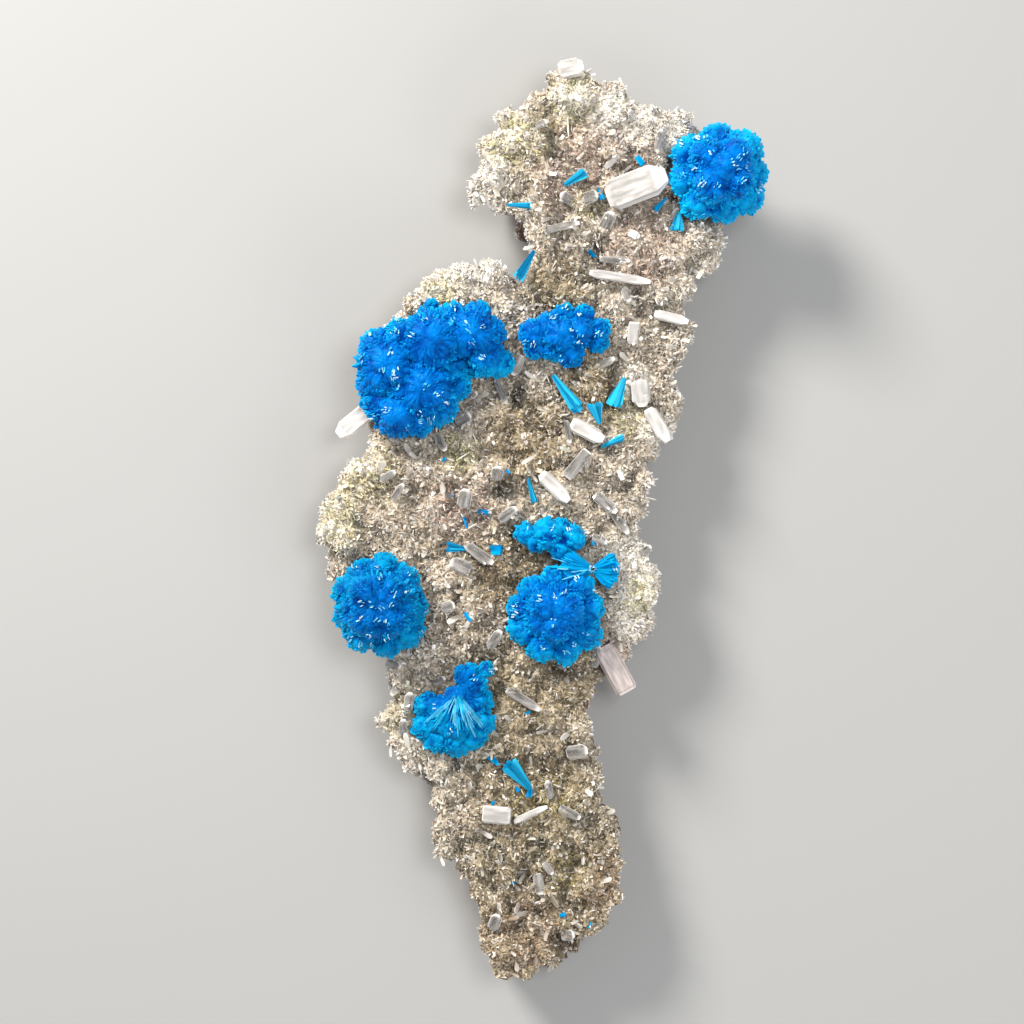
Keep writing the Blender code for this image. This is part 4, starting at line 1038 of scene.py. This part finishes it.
def rosette_streaks(name, points, eyes, rng):
    """The blades on a rosette painted bright as highlights: long ones, and groups of short ones as
    glints.
    """
    visible = points[points[:, 2] > surface_level(points[:, 0], points[:, 1], points) - 0.3]
    parts = []
    for x, y, first, last, count in LONG_STREAKS.get(name, []):
        heading = np.radians(rng.uniform(first, last, count))
        foot = rng.uniform(0.2, 3.4, count)
        length = rng.uniform(0.8, 2.6, count)
        parts.append(streak_blades(
            x + foot * np.cos(heading), y + foot * np.sin(heading), heading, length,
            rng.uniform(0.10, 0.26, count), LONG_STREAK_PALENESS, points, rng,
        ))
    groups, each = GLINT_GROUPS[name], FLECKS_IN_GROUP
    place = visible[rng.integers(len(visible), size=groups)]
    nearest = np.linalg.norm(place[:, None, :2] - eyes[None], axis=2).argmin(axis=1)
    outward = place[:, :2] - eyes[nearest]
    heading = np.arctan2(outward[:, 1], outward[:, 0]) + rng.normal(0.0, 0.6, groups)
    heading = np.repeat(heading, each) + rng.normal(0.0, 0.22, groups * each)
    step = np.tile((np.arange(each) - 1.5) * FLECK_STEP, groups)
    step += rng.normal(0.0, 0.07, groups * each)
    slide = rng.normal(0.0, 0.22, groups * each)
    x = np.repeat(place[:, 0], each) - step * np.sin(heading) + slide * np.cos(heading)
    y = np.repeat(place[:, 1], each) + step * np.cos(heading) + slide * np.sin(heading)
    length = rng.uniform(0.15, 0.6, len(x))
    width = rng.uniform(0.06, 0.17, len(x))
    parts.append(streak_blades(x, y, heading, length, width, GLINT_PALENESS, points, rng))
    return parts


def fan_blades(apex, heading, spread, length, rng):
    """A flat fan: blades that leave the apex, turned over the spread and lifted a little."""
    turn = np.radians(heading + spread * rng.uniform(-1.0, 1.0, FAN_BLADES))
    axis = pointing(turn, np.radians(rng.normal(FAN_RISE, 8.0, FAN_BLADES)))
    start = np.array(apex, float) + rng.normal(0.0, 0.08, axis.shape)
    return start, axis, length * rng.uniform(0.70, 1.0, FAN_BLADES)


def blade_mesh(start, axis, length, foot, tip, size, habit, rng):
    """Blades as one mesh, their colour running from the foot's to the tip's."""
    width, thickness = (usual * rng.uniform(0.7, 1.3, len(start)) for usual in size)
    side = across(axis, rng)
    points, quads = crystals(start, axis, side, length, width, thickness, habit, RECTANGLE)
    rise = habit[:, 0, None]
    colours = foot[:, None, :] * (1.0 - rise) + tip[:, None, :] * rise
    return flat(points, quads, np.clip(colours, 0, 1)[:, :, None, :])


def make_rosette(name, lobes, number, material):
    """One rosette in place of its solid: scalloped balls, and blades that stand out of them."""
    rng = np.random.default_rng(100 + number)
    low, high = in_mm(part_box(name))
    largest = max(lobe[3] for lobe in lobes)
    main_eyes = [lobe[:2] for lobe in lobes if lobe[3] > 0.72 * largest]
    eyes = np.array(ROSETTE_EYES.get(name, main_eyes))
    span = min((high - low)[:2].max() / 2, 1.3 * largest + 1.0)
    parts, pole_tris, offset = [], [], 0
    for k, (x, y, z, radius) in enumerate(lobes):
        centre = np.array((x, y, z))
        eye = eyes[np.linalg.norm(eyes - centre[:2], axis=1).argmin()]
        fans, reach, dome = lobe_fans(radius, rng)
        points, quads, tris, level = scalloped_ball(
            centre, radius, fans, reach, dome, eye, span, 10 * number + k
        )
        parts.append((points, quads, rosette_tints(points, level, eye, span)))
        pole_tris.append(tris + offset)
        start, axis, length, skirt = lobe_blades(centre, fans, reach, dome, eye, rng)
        tips = start + axis * length[:, None]
        keep = np.linalg.norm(tips - centre, axis=1) > 0.8 * radius
        keep &= clear_of(tips, lobes[:k] + lobes[k + 1:], 0.84) & (tips[:, 2] > low[2] + 0.4)
        start, axis, length = start[keep], axis[keep], length[keep]
        tips, skirt = tips[keep], skirt[keep]
        level = np.linalg.norm(tips - centre, axis=1) / radius
        tip = rosette_tints(tips, smooth_step(level, 0.7, 0.95) + 0.1, eye, span)
        # Painted shade: each blade darker at its foot
        foot = tip * 0.7
        tip = blend(tip, BRIGHT, 0.45 * skirt * rng.random(len(tip)))
        parts.append(blade_mesh(start, axis, length, foot, tip, LOBE_BLADE, BLADE, rng))
        offset += len(points) + len(parts[-1][0])
    for apex, heading, spread, length in ROSETTE_FANS.get(name, []):
        start, axis, reach = fan_blades(apex, heading, spread, length, rng)
        tip = blend(AZURE, CYAN, rng.uniform(0.5, 1.0, len(start)))
        # Painted shade: each fan blade darker at its foot
        foot = tip * 0.85
        parts.append(blade_mesh(start, axis, reach, foot, tip, FAN_BLADE_SIZE, FAN_BLADE, rng))
    parts.extend(rosette_streaks(name, joined(parts)[0], eyes, rng))
    points, quads, colours = joined(parts)
    points[:, 2] = np.maximum(points[:, 2], low[2])
    colours = np.clip(colours * ROSETTE_TONES.get(name, 1.0), 0.0, 1.0)
    new_piece(
        name + "_blades", points, quads, colours, material, name,
        np.concatenate(pole_tris),
    )


# Cavansite sheaves and laths

def node_axes(name):
    """A solid's middle, its directions and sizes, longest first, and its points along them.

    The directions are those in which its points spread most, by their singular values.
    """
    points = read(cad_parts[name].data.vertices, "co", 3, float)
    points = np.unique(np.round(points / MM, 3), axis=0)
    _, _, axes = np.linalg.svd(points - points.mean(axis=0), full_matrices=False)
    if np.linalg.det(axes) < 0:
        axes[2] *= -1
    inside = points @ axes.T
    low, high = inside.min(axis=0), inside.max(axis=0)
    return (low + high) / 2 @ axes, axes, high - low, inside


def make_sheaves(material):
    """The small cavansite sheaves and blades: many fine laths from the thin end of each solid."""
    rng = np.random.default_rng(200)
    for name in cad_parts:
        if not name.startswith("cavansite") or name in ROSETTES:
            continue
        middle, axes, size, inside = node_axes(name)
        near = inside[:, 0] < inside[:, 0].min() + 0.25 * size[0]
        far = inside[:, 0] > inside[:, 0].max() - 0.25 * size[0]
        thin, broad = sorted((np.ptp(inside[near, 1]), np.ptp(inside[far, 1])))
        if np.ptp(inside[near, 1]) > thin:
            axes[0], axes[1] = -axes[0], -axes[1]
        count = SHEAF_LATHS
        lath = max(NARROWEST_LATH, size[1] / 5)
        share = np.linspace(-0.5, 0.5, count) + rng.normal(0.0, 0.02, count)
        start = middle - axes[0] * size[0] / 2 + np.outer(share * max(thin - lath, 0.0), axes[1])
        end = middle + axes[0] * size[0] / 2 + np.outer(share * max(broad - lath, 0.0), axes[1])
        lift = np.outer(rng.uniform(-0.35, 0.35, count) * size[2], axes[2])
        length = np.linalg.norm(end - start, axis=1) * rng.uniform(0.80, 0.99, count)
        axis = unit(end - start)
        tint = blend(DARK_LATH, BRIGHT_LATH, rng.random(count) ** 1.2)
        side = unit(np.cross(np.broadcast_to(axes[2], axis.shape), axis))
        points, quads = crystals(
            start + lift, axis, side, length, lath * rng.uniform(0.8, 1.4, count),
            LATH_THICKNESS * rng.uniform(0.7, 1.3, count), LATH, RECTANGLE,
        )
        new_piece(name + "_blades", points, quads, tint[:, None, None], material, name)


def make_small_laths(skin, material):
    """The small cavansite laths that lie in the druse, three side by side in each."""
    rng = np.random.default_rng(250)
    x, y, length, width, heading = np.repeat(SMALL_LATHS, 3, axis=0).T
    count = len(x)
    turn = np.radians(heading + rng.normal(0.0, 7.0, count))
    step = np.tile((-0.3, 0.0, 0.3), len(SMALL_LATHS)) * width
    x, y = x - step * np.sin(turn), y + step * np.cos(turn)
    rise = np.radians(rng.uniform(2.0, 16.0, count))
    base, axis, side = laid(x, y, length, turn, rise, LATH_LIFT, skin["points"])
    length = length * rng.uniform(0.8, 1.0, count)
    points, quads = crystals(base, axis, side, length, 0.5 * width, 0.5 * width, LATH, RECTANGLE)
    tint = blend(AZURE, CYAN, rng.uniform(0.3, 1.0, count))[:, None, None]
    new_piece("cavansite_small_laths", points, quads, tint, material)


# The larger heulandite crystals

def grown_crystals(base, axis, side, length, width, thickness, habit, face, rng):
    """Tabular crystals with clear faces and edges painted white as highlights, each with a thinner
    one on its flank.

    Each is greyer at its foot than at its free end. Also returns each point's place in its own
    crystal's veils.
    """
    count = len(base)
    lean = unit(axis + 0.04 * rng.normal(size=axis.shape))
    shift = base + side * (0.24 * width * rng.choice((-1.0, 1.0), count))[:, None]
    shift += np.cross(axis, side) * np.minimum(0.06 * thickness, 0.08)[:, None]
    shorter = length * rng.uniform(0.6, 0.85, count)
    narrower = width * rng.uniform(0.3, 0.5, count)
    pair = [
        (base, axis, length, width, thickness),
        (shift, lean, shorter, narrower, 0.94 * thickness),
    ]
    # Painted highlight: the edges and the ends whiter than the faces
    edge = np.array([1.0, 0.0, 0.0, 1.0, 1.0, 0.0, 0.0, 1.0])
    ends = np.array([1.0, 0.2, 0.0, 1.0])
    white = np.maximum(edge[None, :], ends[:, None])
    tints = face + (EDGE_HIGHLIGHT - face) * white[..., None]
    tints *= np.linspace(0.78, 1.0, len(habit))[:, None, None]
    parts, grains = [], []
    for start, along, *size in pair:
        points, quads = crystals(start, along, side, *size, habit, BEVELLED)
        parts.append(flat(points, quads, tints))
        steps = (along / VEIL_LENGTH, side / VEIL_WIDTH, np.cross(along, side) / VEIL_WIDTH)
        place = np.einsum("irkc,icd->irkd", points, np.stack(steps, axis=-1))
        grains.append(place.reshape(-1, 3))
    return *joined(parts), np.concatenate(grains)


def make_large_crystals(skin, milky, glassy, pink):
    """Each larger crystal in place of its solid, its free end away from the middle of the plate."""
    rng = np.random.default_rng(300)
    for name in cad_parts:
        if not name.startswith("heulandite_crystal"):
            continue
        middle, axes, size, _ = node_axes(name)
        beside = np.abs(skin["points"][:, 1] - middle[1]) < 4.0
        if axes[0] @ (middle - skin["points"][beside].mean(axis=0)) < 0:
            axes[0], axes[1] = -axes[0], -axes[1]
        if axes[2][2] < 0:
            axes[1], axes[2] = -axes[1], -axes[2]
        is_glassy = name.endswith(("clear", "grey", "tablet", "coffin", "waist", "lower"))
        material = glassy if is_glassy else pink if name.endswith("pink") else milky
        base = (middle - axes[0] * size[0] / 2)[None]
        habit = BLUNT if name.endswith(("pink", "grey", "block")) else COFFIN
        points, quads, colours, grain = grown_crystals(
            base, axes[:1], axes[1:2], size[:1], size[1:2], size[2:3], habit,
            GLASSY_FACE if is_glassy else MILKY_FACE, rng,
        )
        points = drawn_inside(points)
        new_piece(
            name + "_grown", points, quads, colours, material, name, grain=grain
        )


def make_tablets(skin, material):
    """The tablets that lie in the druse, each at the skin's height where it stands."""
    rng = np.random.default_rng(400)
    x, y, length, width, heading, rise = TABLETS.T
    turn, rise = np.radians(heading), np.radians(rise)
    base, axis, side = laid(x, y, length, turn, rise, TABLET_LIFT, skin["points"])
    points, quads, colours, grain = grown_crystals(
        base, axis, side, length, width, 0.4 * width, COFFIN, GLASSY_FACE, rng
    )
    new_piece("heulandite_tablets", points, quads, colours, material, grain=grain)


# The studio

def make_studio():
    """A matt pale floor, soft light from the upper left, and the camera straight above."""
    scene = bpy.context.scene
    shape = bmesh.new()
    bmesh.ops.create_grid(shape, x_segments=1, y_segments=1, size=FLOOR_REACH)
    mesh = bpy.data.meshes.new("floor")
    shape.to_mesh(mesh)
    shape.free()
    paper, tree = new_material("pale_paper_floor")
    shader = add_node(tree, "BsdfPrincipled", {"Base Color": rgba("#a3a29f"), "Roughness": 0.9})
    add_node(tree, "OutputMaterial", {"Surface": shader["BSDF"]})
    mesh.materials.append(paper)
    floor = placed("floor", mesh)

    for name, (place, size, power, colour) in LAMPS.items():
        light = bpy.data.lights.new(name, "AREA")
        light.shape, light.size, light.energy, light.color = "DISK", size, power, colour
        lamp = placed(name, light)
        lamp.location = place
        aim = Vector(LAMPS_AIM) - Vector(place)
        lamp.rotation_euler = aim.to_track_quat("-Z", "Y").to_euler()
    scene.world = bpy.data.worlds.new("studio")
    scene.world.use_nodes = True
    sky = scene.world.node_tree.nodes["Background"].inputs
    sky["Color"].default_value = SKY_COLOUR
    sky["Strength"].default_value = SKY_STRENGTH

    lens = bpy.data.cameras.new("camera")
    lens.lens = LENS
    scene.camera = placed("camera", lens)
    scene.camera.location = CAMERA_PLACE
    scene.view_settings.view_transform = "Standard"


def main():
    """Makes every piece and the studio."""
    azure = cavansite_material()
    glassy = pale_material("heulandite_water_clear", 0.12, 0.62, 0.88, "#fbf9f7")
    milky = pale_material("heulandite_milky", 0.28, 0.30, 0.92, "#fbf8f5")
    pink = pale_material("heulandite_pink", 0.20, 0.40, 0.92, "#fff0ec")
    skin = make_skin(skin_material())
    make_druse(skin, druse_material())
    make_tablets(skin, glassy)
    for number, (name, lobes) in enumerate(ROSETTES.items()):
        make_rosette(name, lobes, number, azure)
    make_sheaves(azure)
    make_small_laths(skin, azure)
    make_large_crystals(skin, milky, glassy, pink)
    make_studio()


main()
